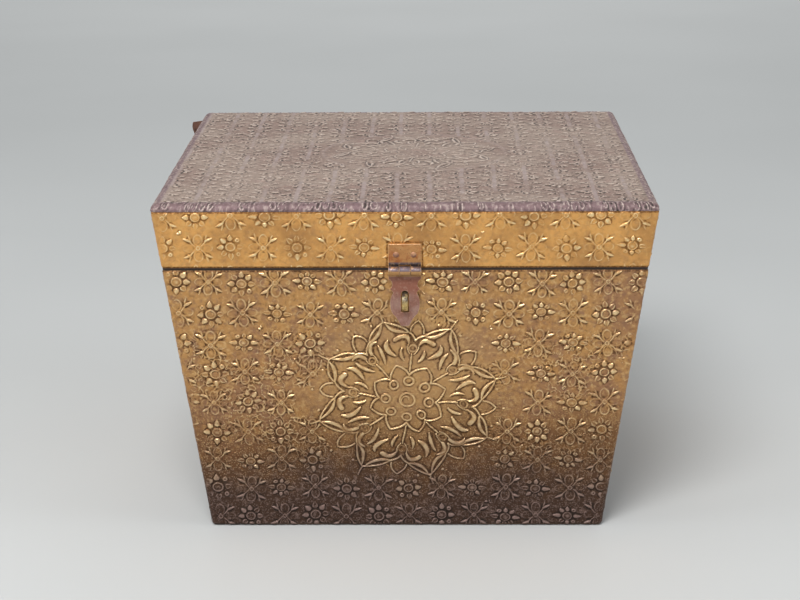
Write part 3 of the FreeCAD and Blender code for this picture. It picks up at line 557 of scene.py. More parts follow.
def side_sheet(name, node, body, turn, rows, step, wraps, pieces, ornament, material):
    """One side's embossed sheet. Its relief is lower past the corners, and its upper and lower edges
    are dressed down to the wood and painted dark along them, as painted shade."""
    fade, lost_past_corner, corner_fade = 1.4, 0.6, 4
    # The first two: how near the upper and lower edges the painted shade is full, and how far from them
    # it ends
    edge_shade_full, cleaner, dressed_down, dressed_over = 0.9, 1.7, 0.45, 1.2
    columns = side_columns(rows[1][-1], step, wraps)
    across, up = unrolled(columns, rows, wraps)
    height = ornament(across, up) * edge_fade(across, up, fade)
    past_flat = np.abs(across) - (rows[1][None, :] - CORNER)
    height = height * (1 - lost_past_corner * smooth(-corner_fade, 0, past_flat))
    marks = pattern_marks(height, step)
    to_edge = np.minimum(up - up[:, :1], up[:, -1:] - up)
    # Painted shade: the hollow mark is full along the upper and lower edges
    marks["hollow"] = np.maximum(marks["hollow"], smooth(cleaner, edge_shade_full, to_edge))
    height = height - dressed_down * smooth(dressed_over, 0, to_edge)
    outer = turned(side_points(columns, rows, wraps, height), turn)
    normals = surface_normals(outer)
    straight = np.flatnonzero(np.isclose(rows[2], LEAN))
    kept = np.r_[0 : straight[0] + 1, straight[-1] : len(rows[0])]
    few_rows = [values[np.unique(kept)] for values in rows]
    plain = np.full((len(columns[0]), len(few_rows[0])), -SHEET)
    inner = turned(side_points(columns, few_rows, wraps, plain), turn)
    sheet = outer, normals, inner, marks
    in_strips(name, node, body, "embossed_brass", material, pieces, *sheet)


def clad(prefix, body, sides, low, high, material, **rounded):
    """The embossed sheets of a box's four sides.

    A side is its name, its turn, the spacing of its points, whether it wraps round the corners,
    the number of its strips, and its ornament."""
    for side, turn, step, wraps, pieces, ornament in sides:
        rows = side_rows(low, high, step, **rounded)
        name, node = f"{prefix}{side}_brass", f"{prefix}{side}_cladding"
        side_sheet(name, node, body, turn, rows, step, wraps, pieces, ornament, material)


# Sheet of the lid's top

def top_profile(length, flat):
    """How far a sheet dressed over the rounded edge has gone round it, as an angle, signed."""
    past = np.maximum(np.abs(length) - flat, 0)
    return np.sign(length) * past / TOP_ROUND


def top_points(across, back, flat, out):
    """Points of the top sheet. Over the rounded edges it turns down by a quarter.

    Where both edges meet, the two turns are squeezed to the longer one's length and share a
    direction, so that the corner is a rounded one whose plan radius grows to the upright's."""
    x_turn, y_turn = top_profile(across, flat), top_profile(back, flat)
    both = np.hypot(x_turn, y_turn)
    turn = np.maximum(np.abs(x_turn), np.abs(y_turn))
    toward_x, toward_y = (
        np.divide(np.abs(one), both, out=np.zeros_like(both), where=both > 0)
        for one in (x_turn, y_turn)
    )
    spread = TOP_ROUND * np.sin(turn)
    corner = CORNER * np.sin(turn)
    stretch = (flat + spread - corner) / flat
    x, y = (
        np.clip(place, -flat, flat) * np.where(toward == 1, 1, stretch)
        + np.sign(place) * np.where(toward == 1, spread, corner * toward)
        for place, toward in ((across, toward_x), (back, toward_y))
    )
    normal = np.stack([
        np.sign(across) * toward_x * np.sin(turn),
        np.sign(back) * toward_y * np.sin(turn),
        np.cos(turn),
    ], -1)
    z = top_high[2] - TOP_ROUND * (1 - np.cos(turn))
    return np.stack([x, y, z], -1) + normal * out[..., None]


# Colours and materials

def linear(code):
    """An sRGB hex colour as linear red, green, blue and alpha."""
    channels = [int(code[place : place + 2], 16) / 255 for place in (1, 3, 5)]
    return tuple(c / 12.92 if c <= 0.04045 else ((c + 0.055) / 1.055) ** 2.4 for c in channels) + (1.0,)


def link_up(tree, node, inputs):
    """Give a node's sockets their values, or the outputs that feed them."""
    for socket, value in inputs.items():
        if isinstance(value, bpy.types.NodeSocket):
            tree.links.new(value, node.inputs[socket])
        else:
            node.inputs[socket].default_value = value


def add(tree, kind, inputs, output=0, **settings):
    """Add a node with its settings and links. Returns one of its outputs."""
    node = tree.nodes.new("ShaderNode" + kind)
    for name, value in settings.items():
        setattr(node, name, value)
    link_up(tree, node, inputs)
    return node.outputs[output]


# A mix node's colour sockets. A map range node's 1 and 2 are the range from which it maps, and
# its 3 and 4 the one to which it maps, 0 and 1 unless given
COLOUR_A, COLOUR_B, MIXED = 6, 7, 2
EASED = {"interpolation_type": "SMOOTHSTEP"}


def repeats(size):
    """The scale at which a noise's forms are about a size in millimetres."""
    return 1 / (size * MM)


def layered(tree, colour, layers):
    """Lays colours over a first one, each through a mask.

    A layer is its mask, the mask's values where the layer starts and is fullest, the share that
    it covers there, and its colour."""
    for mask, start, full, most, over in layers:
        share = add(tree, "MapRange", {"Value": mask, 1: start, 2: full, 4: most}, **EASED)
        inputs = {0: share, COLOUR_A: colour, COLOUR_B: over}
        colour = add(tree, "Mix", inputs, MIXED, data_type="RGBA")
    return colour


def new_material(name):
    """A material, its tree, its shader and the object coordinates."""
    material = bpy.data.materials.new(name)
    material.use_nodes = True
    tree = material.node_tree
    return material, tree, tree.nodes["Principled BSDF"], add(tree, "TexCoord", {}, "Object")


def embossed_brass(name, colours, darkening_top, stipple_top, mottling):
    """Yellow brass sheet, embossed by hand: lighter on the raised work, for rubbed wear and a painted
    highlight, brown in the hollows, for dirt and painted shade, with mauve-brown tarnish in clouds, a
    paler patch round the front's middle, a ground that is punched with fine dots below stipple_top,
    most of all below 50 mm, and darker towards the bottom, darkest 4 mm above the floor."""
    material, tree, shader, place = new_material(name)
    rubbed, hollow = (
        add(tree, "Attribute", {}, "Fac", attribute_name=mark) for mark in ("rubbed", "hollow")
    )
    height = add(tree, "SeparateXYZ", {0: place}, "Z")
    clouds, patches, fleck, mottle, grain = (
        add(tree, "TexNoise", {"Vector": place, "Scale": repeats(size), "Detail": detail}, "Fac")
        for size, detail in ((45, 3), (9, 4), (4.2, 3), (3.0, 4), (1.6, 2))
    )
    cloud_lift, patch_lift = 50, 24
    level = height
    for noise, lift in ((clouds, cloud_lift), (patches, patch_lift)):
        level = add(tree, "Math", {0: noise, 1: lift * MM, 2: level}, operation="MULTIPLY_ADD")

    def at(millimetres_up):
        """The level at a height, where clouds and patches lift it as much as they do on average."""
        return (millimetres_up + (cloud_lift + patch_lift) / 2) * MM

    # Darker towards the bottom: a dark brown below a set height, darkest 4 mm above the floor
    risen = add(tree, "MapRange", {"Value": level, 1: at(darkening_top), 2: at(4)}, **EASED)
    stipple = {"Value": level, 1: at(stipple_top), 2: at(50), 3: 0.12, 4: 1.0}
    stippled = add(tree, "MapRange", stipple, **EASED)

    spots = add(tree, "TexVoronoi", {"Vector": place, "Scale": repeats(1.5)})
    flat = add(tree, "Math", {0: 1.0, 1: rubbed}, operation="SUBTRACT")
    between = add(tree, "Math", {0: stippled, 1: flat}, operation="MULTIPLY")
    punched = add(tree, "MapRange", {"Value": spots, 1: 0.5, 2: 0.2, 4: between}, **EASED)

    front_middle, handled_from, handled_to = (0.0, -165 * MM, 118 * MM), 42 * MM, 88 * MM
    away = add(tree, "VectorMath", {0: place, 1: front_middle}, "Value", operation="DISTANCE")
    hollow_cover = add(tree, "MapRange", {"Value": grain, 1: 0.3, 2: 0.65, 3: 0.5, 4: 1.0}, **EASED)
    patchy = add(tree, "MapRange", {"Value": fleck, 1: 0.35, 2: 0.65, 3: 0.3, 4: 0.9}, **EASED)
    upper = layered(tree, colours["ground"], [
        (clouds, 0.42, 0.68, 0.85, colours["cloud"]),
        (level, at(stipple_top), at(60), 0.6, colours["cloud"]),
        (patches, 0.5, 0.72, 0.6, colours["warm"]),
        (patches, 0.48, 0.32, 0.7 * mottling, colours["cloud"]),
        (fleck, 0.5, 0.7, 0.55 * mottling, colours["fleck"]),
        (mottle, 0.52, 0.66, 0.6 * mottling, colours["bare"]),
        (mottle, 0.46, 0.3, 0.35 * mottling, colours["hollow"]),
        (away, handled_to, handled_from, 0.4, colours["handled"]),
        (between, 0.0, 1.0, 0.36, colours["hollow"]),
        # A warm brown band above the darker bottom
        (level, at(darkening_top - 15), at(darkening_top - 65), 0.45, colours["warm_lower_band"]),
        (punched, 0.0, 1.0, 0.6, colours["bare"]),
        # Hollows darker, for dirt and painted shade; raised work lighter, for rubbed wear and a painted
        # highlight
        (hollow, 0.0, 1.0, hollow_cover, colours["hollow"]),
        (rubbed, 0.0, 1.0, patchy, colours["rubbed"]),
    ])
    # The darker bottom, with its raised work lighter and its hollows darker, as above
    bottom_dark = layered(tree, colours["bottom_dark"], [
        (mottle, 0.52, 0.66, 0.4, colours["crust_rubbed"]),
        (punched, 0.0, 1.0, 0.35, colours["crust_rubbed"]),
        (hollow, 0.0, 1.0, 1.0, colours["bottom_hollow_dirt_and_shade"]),
        (rubbed, 0.0, 1.0, 0.9, colours["crust_rubbed"]),
    ])
    colour = layered(tree, upper, [(risen, 0.0, 1.0, 1.0, bottom_dark)])

    dull = add(tree, "MapRange", {"Value": hollow, 3: 0.38, 4: 0.62})
    rough_low_down = add(tree, "Math", {0: risen, 1: 0.54}, operation="MULTIPLY")
    rough = add(tree, "Math", {0: rough_low_down, 1: dull}, operation="MAXIMUM")
    metal = add(tree, "MapRange", {"Value": risen, 1: 0.2, 2: 1.0, 3: 0.9, 4: 0.55}, **EASED)
    uneven = add(tree, "Math", {0: mottle, 1: 1.8}, operation="MULTIPLY")
    bumps = add(tree, "Math", {0: uneven, 1: punched}, operation="ADD")
    normal = add(tree, "Bump", {"Height": bumps, "Distance": 0.35 * MM, "Strength": 0.75})
    finish = {"Base Color": colour, "Roughness": rough, "Metallic": metal, "Normal": normal}
    link_up(tree, shader, finish)
    return material


def dusty_brass(name, colours):
    """The same sheet on the lid's top, under a dry grey-pink bloom of dust and tarnish, with rubbed
    wear and a painted highlight on the raised work and dirt and painted shade in the hollows. Down
    the rounded edges it is painted mauve, a painted sky reflection, with pale and dark streaks."""
    material, tree, shader, place = new_material(name)
    rubbed, hollow, plain, over = (
        add(tree, "Attribute", {}, "Fac", attribute_name=mark)
        for mark in ("rubbed", "hollow", "plain", "over")
    )
    clouds, patches, spots, grain = (
        add(tree, "TexNoise", {"Vector": place, "Scale": repeats(size), "Detail": detail}, "Fac")
        for size, detail in ((60, 3), (12, 4), (3.4, 5), (1.4, 2))
    )
    worn = add(tree, "MapRange", {"Value": patches, 1: 0.35, 2: 0.6, 3: 0.1, 4: 0.5}, **EASED)
    top_hollow_cover = add(tree, "MapRange", {"Value": clouds, 1: 0.35, 2: 0.65, 3: 0.55, 4: 1.0}, **EASED)
    patchy = add(tree, "MapRange", {"Value": grain, 1: 0.3, 2: 0.65, 3: 0.15, 4: 0.7}, **EASED)
    ragged = add(tree, "Math", {0: over, 1: 0.25}, operation="MULTIPLY")
    upright = add(tree, "Mapping", {"Vector": place, "Scale": (1.0, 1.0, 0.2)})
    inputs = {"Vector": upright, "Scale": repeats(2.6), "Detail": 3.0}
    streaks = add(tree, "TexNoise", inputs, "Fac")
    colour = layered(tree, colours["ground"], [
        (clouds, 0.4, 0.62, 1.0, colours["cloud"]),
        (patches, 0.55, 0.72, 0.6, colours["warm"]),
        (spots, 0.54, 0.7, 0.3, colours["rubbed"]),
        (spots, 0.46, 0.32, 0.35, colours["hollow"]),
        # Painted reflection: the rounded edges are painted mauve for the sky reflected in them
        (over, 0.0, 1.0, 1.0, colours["edge"]),
        (streaks, 0.52, 0.66, ragged, colours["rubbed"]),
        (streaks, 0.46, 0.34, ragged, colours["hollow"]),
        # Hollows darker, for dirt and painted shade; raised work lighter, for rubbed wear and a painted
        # highlight
        (hollow, 0.0, 1.0, top_hollow_cover, colours["hollow"]),
        (plain, 0.0, 1.0, worn, colours["strip"]),
        (rubbed, 0.0, 1.0, patchy, colours["rubbed"]),
    ])
    rough = add(tree, "MapRange", {"Value": grain, 1: 0.3, 2: 0.7, 3: 0.58, 4: 0.72})
    normal = add(tree, "Bump", {"Height": grain, "Distance": 0.25 * MM, "Strength": 0.6})
    finish = {"Base Color": colour, "Roughness": rough, "Metallic": 0.35, "Normal": normal}
    link_up(tree, shader, finish)
    return material


def rolled_metal(name, dull, stain, bright, metallic, roughness, pit=1.1, pit_depth=0.2, zones=()):
    """Rolled sheet or wire that has tarnished where it isn't handled, with stains, specks and pits.

    zones are heights between which it has another colour: low, high, the width over which that
    fades, and its colour. On the hasp they hold painted reflection, painted shadow and the strap's
    reddish shoulder."""
    specks_colour, foot_share = "#3A2620", 0.92
    material, tree, shader, place = new_material(name)
    height = add(tree, "SeparateXYZ", {0: place}, "Z")
    stains, wear, specks = (
        add(tree, "TexNoise", {"Vector": place, "Scale": repeats(size), "Detail": detail}, "Fac")
        for size, detail in ((6, 5), (2.2, 3), (0.9, 2))
    )
    colour = layered(tree, linear(dull), [(stains, 0.42, 0.66, 1.0, linear(stain))])
    for low, high, fade, code in zones:
        foot = {"Value": height, 1: (low - fade) * MM, 2: (low + fade) * MM, 4: foot_share}
        above = add(tree, "MapRange", foot, **EASED)
        ends = (high + fade) * MM, (high - fade) * MM
        colour = layered(tree, colour, [(height, *ends, above, linear(code))])
    colour = layered(tree, colour, [
        (wear, 0.5, 0.8, 0.7, linear(bright)),
        (specks, 0.36, 0.28, 0.8, linear(specks_colour)),
    ])
    rough = {"Value": stains, 1: 0.42, 2: 0.66, 3: roughness, 4: min(1.0, roughness + 0.2)}
    pits = add(tree, "TexVoronoi", {"Vector": place, "Scale": repeats(pit)})
    pitted = add(tree, "MapRange", {"Value": pits, 1: 0.05, 2: 0.35}, **EASED)
    normal = add(tree, "Bump", {"Height": pitted, "Distance": pit_depth * MM, "Strength": 0.5})
    link_up(tree, shader, {
        "Base Color": colour,
        "Roughness": add(tree, "MapRange", rough),
        "Metallic": metallic,
        "Normal": normal,
    })
    return material


def sawn_wood(name, pale, dark, joint_shade, along_x):
    """Unvarnished softwood darkened with age: grain 3 mm wide that runs along the board, and
    near-black along the joint of case and lid, as painted shade in the gap."""
    material, tree, shader, place = new_material(name)
    stretch = (0.06, 1.0, 1.0) if along_x else (1.0, 0.06, 1.0)
    drawn = add(tree, "Mapping", {"Vector": place, "Scale": stretch})
    inputs = {"Vector": drawn, "Detail": 6.0, "Roughness": 0.65}
    grain, fibre = (
        add(tree, "TexNoise", inputs | {"Scale": repeats(size)}, "Fac") for size in (3, 1.1)
    )
    clouds = add(tree, "TexNoise", {"Vector": place, "Scale": repeats(40), "Detail": 3.0}, "Fac")
    height = add(tree, "SeparateXYZ", {0: place}, "Z")
    # Painted shade: the boards turn near-black towards the joint, where the gap is in shade
    shade_reach, shade_darkest = 4, 1
    above = {"Value": height, 1: (JOINT - shade_reach) * MM, 2: (JOINT - shade_darkest) * MM, 4: 0.85}
    at_joint = add(tree, "MapRange", above, **EASED)
    colour = layered(tree, dark, [
        (grain, 0.35, 0.68, 1.0, pale),
        (fibre, 0.5, 0.36, 0.55, dark),
        (clouds, 0.45, 0.7, 0.5, dark),
        (height, (JOINT + shade_reach) * MM, (JOINT + shade_darkest) * MM, at_joint, joint_shade),
    ])
    rough = add(tree, "MapRange", {"Value": grain, 1: 0.3, 2: 0.7, 3: 0.8, 4: 0.62})
    normal = add(tree, "Bump", {"Height": grain, "Distance": 0.4 * MM, "Strength": 0.6})
    finish = {"Base Color": colour, "Roughness": rough, "Metallic": 0.0, "Normal": normal}
    link_up(tree, shader, finish)
    return material


# Sizes and colours that a user would change

def length(name, description, default):
    """A length property whose default is given in millimetres."""
    return FloatProperty(name=name, description=description, default=default * MM, unit="LENGTH")


def power(name, description, default):
    """A lamp's power property."""
    return FloatProperty(name=name, description=description, default=default, unit="POWER")


def tint(name, description, code):
    """A colour property whose default is an sRGB hex code."""
    return FloatVectorProperty(
        name=name, description=description, size=4, subtype="COLOR", min=0, max=1, default=linear(code)
    )


class ChestOrnament(bpy.types.PropertyGroup):
    """Sizes of the embossed pattern."""

    cell: length("Cell", "Side of the pattern's square cell", 23.8)
    emboss: length("Emboss", "Height of the raised work over the sheet", 1.0)
    dent: length("Dent", "Depth of the sheet's soft dents", 0.22)
    waver: length("Waver", "How far the hand-set pattern strays from its lines", 0.55)
    fine: length("Fine step", "Spacing of the points on the front", 0.5)
    coarse: length("Coarse step", "Spacing of the points on the sides and the back", 1.0)
    top: length("Top step", "Spacing of the points on the lid's top", 0.8)


class ChestColours(bpy.types.PropertyGroup):
    """Colours of the brass, the dust and the hardware."""

    ground: tint("Ground", "Plain brass between the raised work", "#C6965F")
    cloud: tint("Cloud", "Mauve-brown tarnish that lies in clouds", "#A0765A")
    warm: tint("Warm", "Orange patches", "#C69258")
    fleck: tint("Fleck", "Small mauve-brown flecks", "#94705C")
    bare: tint("Bare", "Small spots of cleaner brass", "#DAB27A")
    # The hollow colours are dirt and painted shade, the rubbed ones rubbed wear and a painted highlight
    hollow: tint("Hollow", "Dirt_and_shade round the raised work", "#5A3E2A")
    rubbed: tint("Rubbed", "Raised work that hands have rubbed", "#F0D2A0")
    lid_ground: tint("Lid ground", "Plain brass on the lid's edges", "#E6AC66")
    lid_cloud: tint("Lid cloud", "Tarnish on the lid's edges", "#B48452")
    lid_bare: tint("Lid bare", "Small spots of cleaner brass on the lid's edges", "#E6BC7A")
    # Lid hollow: dirt and painted shade; lid rubbed: rubbed wear and a painted highlight
    lid_hollow: tint("Lid hollow", "Dirt_and_shade on the lid's edges", "#76502A")
    lid_rubbed: tint("Lid rubbed", "Raised work on the lid's edges", "#F8E0AC")
    handled: tint("Handled", "Paler brass round the front's middle", "#D2AA74")
    # Colours towards the bottom, which is darker there, with a warm band above
    warm_lower_band: tint("Singed", "Warm brown above the bottom_dark", "#8A5A2E")
    bottom_dark: tint("Crust", "Dark crust near the floor", "#412C20")
    bottom_hollow_dirt_and_shade: tint("Crust hollow", "The crust's hollows", "#2C1E16")
    crust_rubbed: tint("Crust rubbed", "Raised work that shows through the bottom_dark", "#887068")
    dust_ground: tint("Dust", "Bloom on the lid's top", "#897669")
    dust_cloud: tint("Dust cloud", "Browner bloom on the lid's top", "#7D665A")
    dust_warm: tint("Dust warm", "Pinkish bloom on the lid's top", "#8C7166")
    # Dust hollow: dirt and painted shade; dust rubbed: rubbed wear and a painted highlight
    dust_hollow: tint("Dust hollow", "Hollows of the lid's top", "#2C221E")
    dust_rubbed: tint("Dust rubbed", "Raised work on the lid's top", "#CCBCB0")
    dust_strip: tint("Dust strip", "Plain strips on the lid's top", "#9A8C8A")
    # Painted reflection: the mauve of the rounded top edge stands for the sky reflected in it
    dust_edge: tint("Dust edge", "The lid's rounded top edge", "#70595A")
    wood: tint("Wood", "Bare boards", "#6E5038")
    wood_dark: tint("Dark wood", "Grain of the boards", "#3E2A1C")
    # Painted shade: dark boards along the joint, where the gap is in shade
    wood_joint_shade: tint("Shaded wood", "Boards along the joint of case and lid", "#241810")


class ChestStage(bpy.types.PropertyGroup):
    """The floor and the lamps."""

    floor: tint("Floor", "Plain floor", "#B2B3B2")
    key: power("Key", "Power of the large lamp above the front", 54.0)
    far: power("Far", "Power of the lamp over the floor behind", 40.0)
    fill: power("Fill", "Power of the lamps at the sides", 14.0)
    sky: FloatProperty(name="Sky", description="Strength of the light from all round", default=0.55)


def chosen(group):
    """The scene's settings in a property group."""
    return getattr(bpy.context.scene, group)


def ornament_length(name):
    """A length of the ornament in millimetres."""
    return getattr(chosen("chest_ornament"), name) / MM


def colours_of(names, prefix=""):
    """Colours by name, where the lid's and the dust's own ones have a prefix to theirs."""
    colours = chosen("chest_colours")
    return {name: tuple(getattr(colours, prefix + name)) for name in names}


BRASS_TONES = ("ground", "cloud", "warm", "fleck", "bare", "hollow", "rubbed", "handled", "warm_lower_band",
               "bottom_dark", "bottom_hollow_dirt_and_shade", "crust_rubbed")
LID_TONES = ("ground", "cloud", "bare", "hollow", "rubbed")
DUST_TONES = ("ground", "cloud", "warm", "hollow", "rubbed", "strip", "edge")
WOOD_TONES = ("wood", "wood_dark", "wood_joint_shade")


# Ornament of each sheet, from lengths across and up it in millimetres

def strayed(across, up, seed):
    """The same lengths, moved a little by slow noise, as a hand sets a pattern out."""
    waver = ornament_length("waver")
    aside = drift(across, up, 31, seed) + 0.5 * drift(across, up, 8, seed + 2)
    upwards = drift(across, up, 27, seed + 1) + 0.5 * drift(across, up, 9, seed + 3)
    return across + waver * aside, up + waver * upwards


def dents(across, up, seed):
    """Soft dents of the sheet: noise of four sizes, from the palm's down to the punch's."""
    dent = ornament_length("dent")
    sizes = ((34, 0.5), (13, 0.4), (4.6, 0.3), (1.9, 0.22))
    return dent * sum(
        share * drift(across, up, size, seed + number) for number, (size, share) in enumerate(sizes)
    )


def side_ornament(seed, daisy_at, rose_at=None, flat_at=None, depth=1.0, moat_depth=0.0):
    """Florets all over with a daisy at one point, and round rose_at a medallion instead.

    Points are lengths across and up. flat_at is the (low, high) corners of what the hardware has
    flattened, which comes to a right-angled point at its low end, with a shallow moat round it.
    depth is a share of the usual height. Round the medallion lie only whole flowers, and clouds
    of fine squiggles cover the case's middle heights."""
    cloud, squiggle, squiggle_height, moat_width = 30, 3.6, 0.48, 0.9
    above_floor, below_joint, round_medallion = (30, 70), (190, 140), (2.72, 2.86)

    def relief(across, up):
        """Height of the ornament at lengths across and up a sheet."""
        cell = ornament_length("cell")
        u, v = strayed(across, up, seed)
        column, row = (u - daisy_at[0]) / cell, (v - daisy_at[1]) / cell
        height = florets(column, row, seed)
        if rose_at:
            x, y = (u - rose_at[0]) / cell / ROSE_STRETCH, (v - rose_at[1]) / cell
            whole_x = (np.round(column) * cell + daisy_at[0] - rose_at[0]) / cell
            whole_y = (np.round(row) * cell + daisy_at[1] - rose_at[1]) / cell
            away, is_whole = np.hypot(x, y), np.hypot(whole_x, whole_y) > MEDALLION_REACH
            outside = is_whole * smooth(*round_medallion, away)
            height = height * outside
            near = away < MEDALLION_REACH
            height[near] = np.maximum(height[near], medallion(x[near], y[near]))
        chased = smooth(-0.9, 0.3, drift(u, v, cloud, seed + 12))
        chased = chased * smooth(*above_floor, v) * smooth(*below_joint, v)
        if rose_at:
            chased = chased * outside
        lines = squiggles(u, v, squiggle, seed + 9)
        height = np.maximum(height, squiggle_height * chased * lines)
        moat = 0
        if flat_at:
            (left, low), (right, high) = flat_at
            tip = (up - low - np.abs(across - (left + right) / 2)) / math.sqrt(2)
            inside = np.minimum.reduce([across - left, right - across, tip, high - up])
            height = height * (1 - smooth(-2, 0.5, inside))
            moat = moat_depth * line(inside + moat_width, moat_width)
        emboss = depth * ornament_length("emboss")
        return emboss * height + dents(across, up, seed + 5) - moat

    return relief


def top_ornament(across, back):
    """Florets all over, straight lines between their columns, and a medallion in a plain rim.

    Over the edge the sheet is gathered in short upright creases and loops. Beside the height, it
    returns where the sheet is plain and where it is over the edge."""
    rim_radius, strip_height, rim_height = 3.02, 0.3, 0.4
    loop_spacing, crease_spacing = 5.4, 3.6
    cell = ornament_length("cell")
    u, v = strayed(across, back, 21)
    column, row = u / cell + 0.25, v / cell
    height = florets(column, row, 21)
    chased = smooth(-0.4, 0.7, drift(u, v, 14, 35) - v / 260)
    height = np.maximum(1.2 * height, 0.5 * squiggles(u, v, 4.4, 33) * chased)
    strip = 1 - smooth(0.04, 0.09, 0.5 - np.abs(column - np.floor(column) - 0.5))
    strip = strip * smooth(-0.8, 0.1, drift(u, v, 40, 36))
    height = height * (1 - strip) + strip_height * strip
    x, y = column - 0.5, row
    radius = np.hypot(x, y)
    rim = line(radius - rim_radius, 0.07)
    height = height * smooth(2.98, 3.1, radius)
    near = radius < MEDALLION_REACH
    height[near] = np.maximum(height[near], 0.9 * medallion(x[near], y[near]))
    height = np.maximum(height, rim_height * rim)
    flat = top_high[0] - TOP_ROUND
    for along, past in ((across, np.abs(back) - flat), (back, np.abs(across) - flat)):
        place = along + 1.4 * drift(along, past, 9, 41)
        number = np.round(place / loop_spacing)
        gather = place / loop_spacing - number
        luck = lattice(number, np.sign(back), 42)
        loop = line(np.hypot(gather / 0.33, (past - 0.8 - 4 * luck) / (2.4 + 2 * luck)) - 1, 0.24)
        crease = line(place / crease_spacing - np.round(place / crease_spacing), 0.2)
        crease = crease * smooth(-0.4, 0.6, drift(along, past, 5, 43))
        gathered = np.maximum(0.6 * loop * (luck > 0.45), 0.5 * crease)
        lowered = height * (1 - 0.5 * smooth(0, 1, past))
        height = np.maximum(lowered, gathered * smooth(0, 1.2, past))
    emboss = ornament_length("emboss")
    plain = np.maximum(strip * smooth(2.95, 3.05, radius), 0.5 * rim)
    over = smooth(-1.8, -0.2, np.maximum(np.abs(across), np.abs(back)) - flat)
    return 0.85 * emboss * height + dents(across, back, 26), plain * (1 - over), over


# Operators

class CHEST_OT_stage(bpy.types.Operator):
    """Plain pale floor, soft lamps and the camera"""

    bl_idname = "chest.stage"
    bl_label = "Stage"

    # Half the floor's width, and the height of the point that the lamps shine on
    FLOOR_HALF, MIDDLE = 9000, 130
    # The camera: where it stands, how it is turned in degrees, its focal length and its sensor
    PLACE = (17.14, -1527.3, 570.4)
    PITCH_DOWN, YAW_RIGHT, ROLL = 15.902, -0.877, -0.342
    LENS, SENSOR = 88.38, 36.0

    def execute(self, context):
        colours = chosen("chest_stage")
        far = self.FLOOR_HALF
        corners = [(-far, -far, 0), (far, -far, 0), (far, far, 0), (-far, far, 0)]
        floor = mesh_object("floor", corners, [[0, 1, 2, 3]])
        material, tree, shader, place = new_material("matt_floor_paint")
        clouds = add(tree, "TexNoise", {"Vector": place, "Scale": repeats(600)}, "Fac")
        pale = tuple(colours.floor)
        darker = tuple(0.96 * channel for channel in pale[:3]) + (1.0,)
        colour = layered(tree, pale, [(clouds, 0.3, 0.7, 1.0, darker)])
        link_up(tree, shader, {"Base Color": colour, "Roughness": 0.9})
        floor.data.materials.append(material)

        world = bpy.data.worlds.new("studio")
        world.use_nodes = True
        sky = world.node_tree.nodes["Background"]
        sky.inputs["Color"].default_value = linear("#EEF3F6")
        sky.inputs["Strength"].default_value = colours.sky
        context.scene.world = world

        middle = (0, 0, self.MIDDLE)
        lamps = [
            ("key_lamp", (-350, -1500, 1900), middle, 1000, colours.key),
            ("far_lamp", (0, 3600, 2200), (0, 3600, 0), 3000, colours.far),
            ("left_lamp", (-1900, -500, 900), middle, 1200, colours.fill),
            ("right_lamp", (1900, -500, 900), middle, 1200, colours.fill),
        ]
        for name, spot, target, wide, power in lamps:
            lamp = bpy.data.lights.new(name, "AREA")
            lamp.shape = "DISK"
            lamp.size = wide * MM
            lamp.energy = power
            stand = bpy.data.objects.new(name, lamp)
            spot, target = Vector(spot) * MM, Vector(target) * MM
            aim = (target - spot).to_track_quat("-Z", "Y")
            stand.matrix_world = Matrix.Translation(spot) @ aim.to_matrix().to_4x4()
            context.scene.collection.objects.link(stand)

        lens = bpy.data.cameras.new("camera")
        lens.lens, lens.sensor_width = self.LENS, self.SENSOR
        camera = bpy.data.objects.new("camera", lens)
        camera.matrix_world = (
            Matrix.Translation(Vector(self.PLACE) * MM)
            @ Matrix.Rotation(math.radians(-self.YAW_RIGHT), 4, "Z")
            @ Matrix.Rotation(math.radians(90 - self.PITCH_DOWN), 4, "X")
            @ Matrix.Rotation(math.radians(self.ROLL), 4, "Z")
        )
        context.scene.collection.objects.link(camera)
        context.scene.camera = camera
        context.scene.view_settings.view_transform = "Standard"
        return {"FINISHED"}


class CHEST_OT_case_brass(bpy.types.Operator):
    """Embossed sheets on the four sides of the case"""

    bl_idname = "chest.case_brass"
    bl_label = "Case brass"

    # How much further from the joint the sheets end than the solids' do
    SHORT = 0.3
    # How far the flattened patch goes past the strap's tip and the joint
    PAST_TIP, PAST_JOINT = 2, 6

    def execute(self, context):
        cell = ornament_length("cell")
        fine, coarse = ornament_length("fine"), ornament_length("coarse")
        colours = colours_of(BRASS_TONES)
        brass = embossed_brass(
            "tarnished_embossed_brass", colours, darkening_top=118, stipple_top=142, mottling=1.0
        )
        joint = JOINT / math.cos(LEAN)
        middle = (0.06 * cell, joint - 4.33 * cell)
        daisy_at = (-0.9 * cell, joint - 0.43 * cell)
        tip = strap_low[2] / math.cos(LEAN) - self.PAST_TIP
        hasp = ((strap_low[0], tip), (strap_high[0], joint + self.PAST_JOINT))
        sides = [
            ("front", FRONT, fine, True, 4, side_ornament(1, daisy_at, middle, hasp)),
            ("back", BACK, coarse, True, 1, side_ornament(2, daisy_at)),
            ("left", LEFT, coarse, False, 1, side_ornament(3, daisy_at, middle)),
            ("right", RIGHT, coarse, False, 1, side_ornament(4, daisy_at, middle)),
        ]
        foot = (CORNER, CORNER)
        clad("", "case", sides, case_low[2], case_high[2] - self.SHORT, brass, foot=foot)
        return {"FINISHED"}


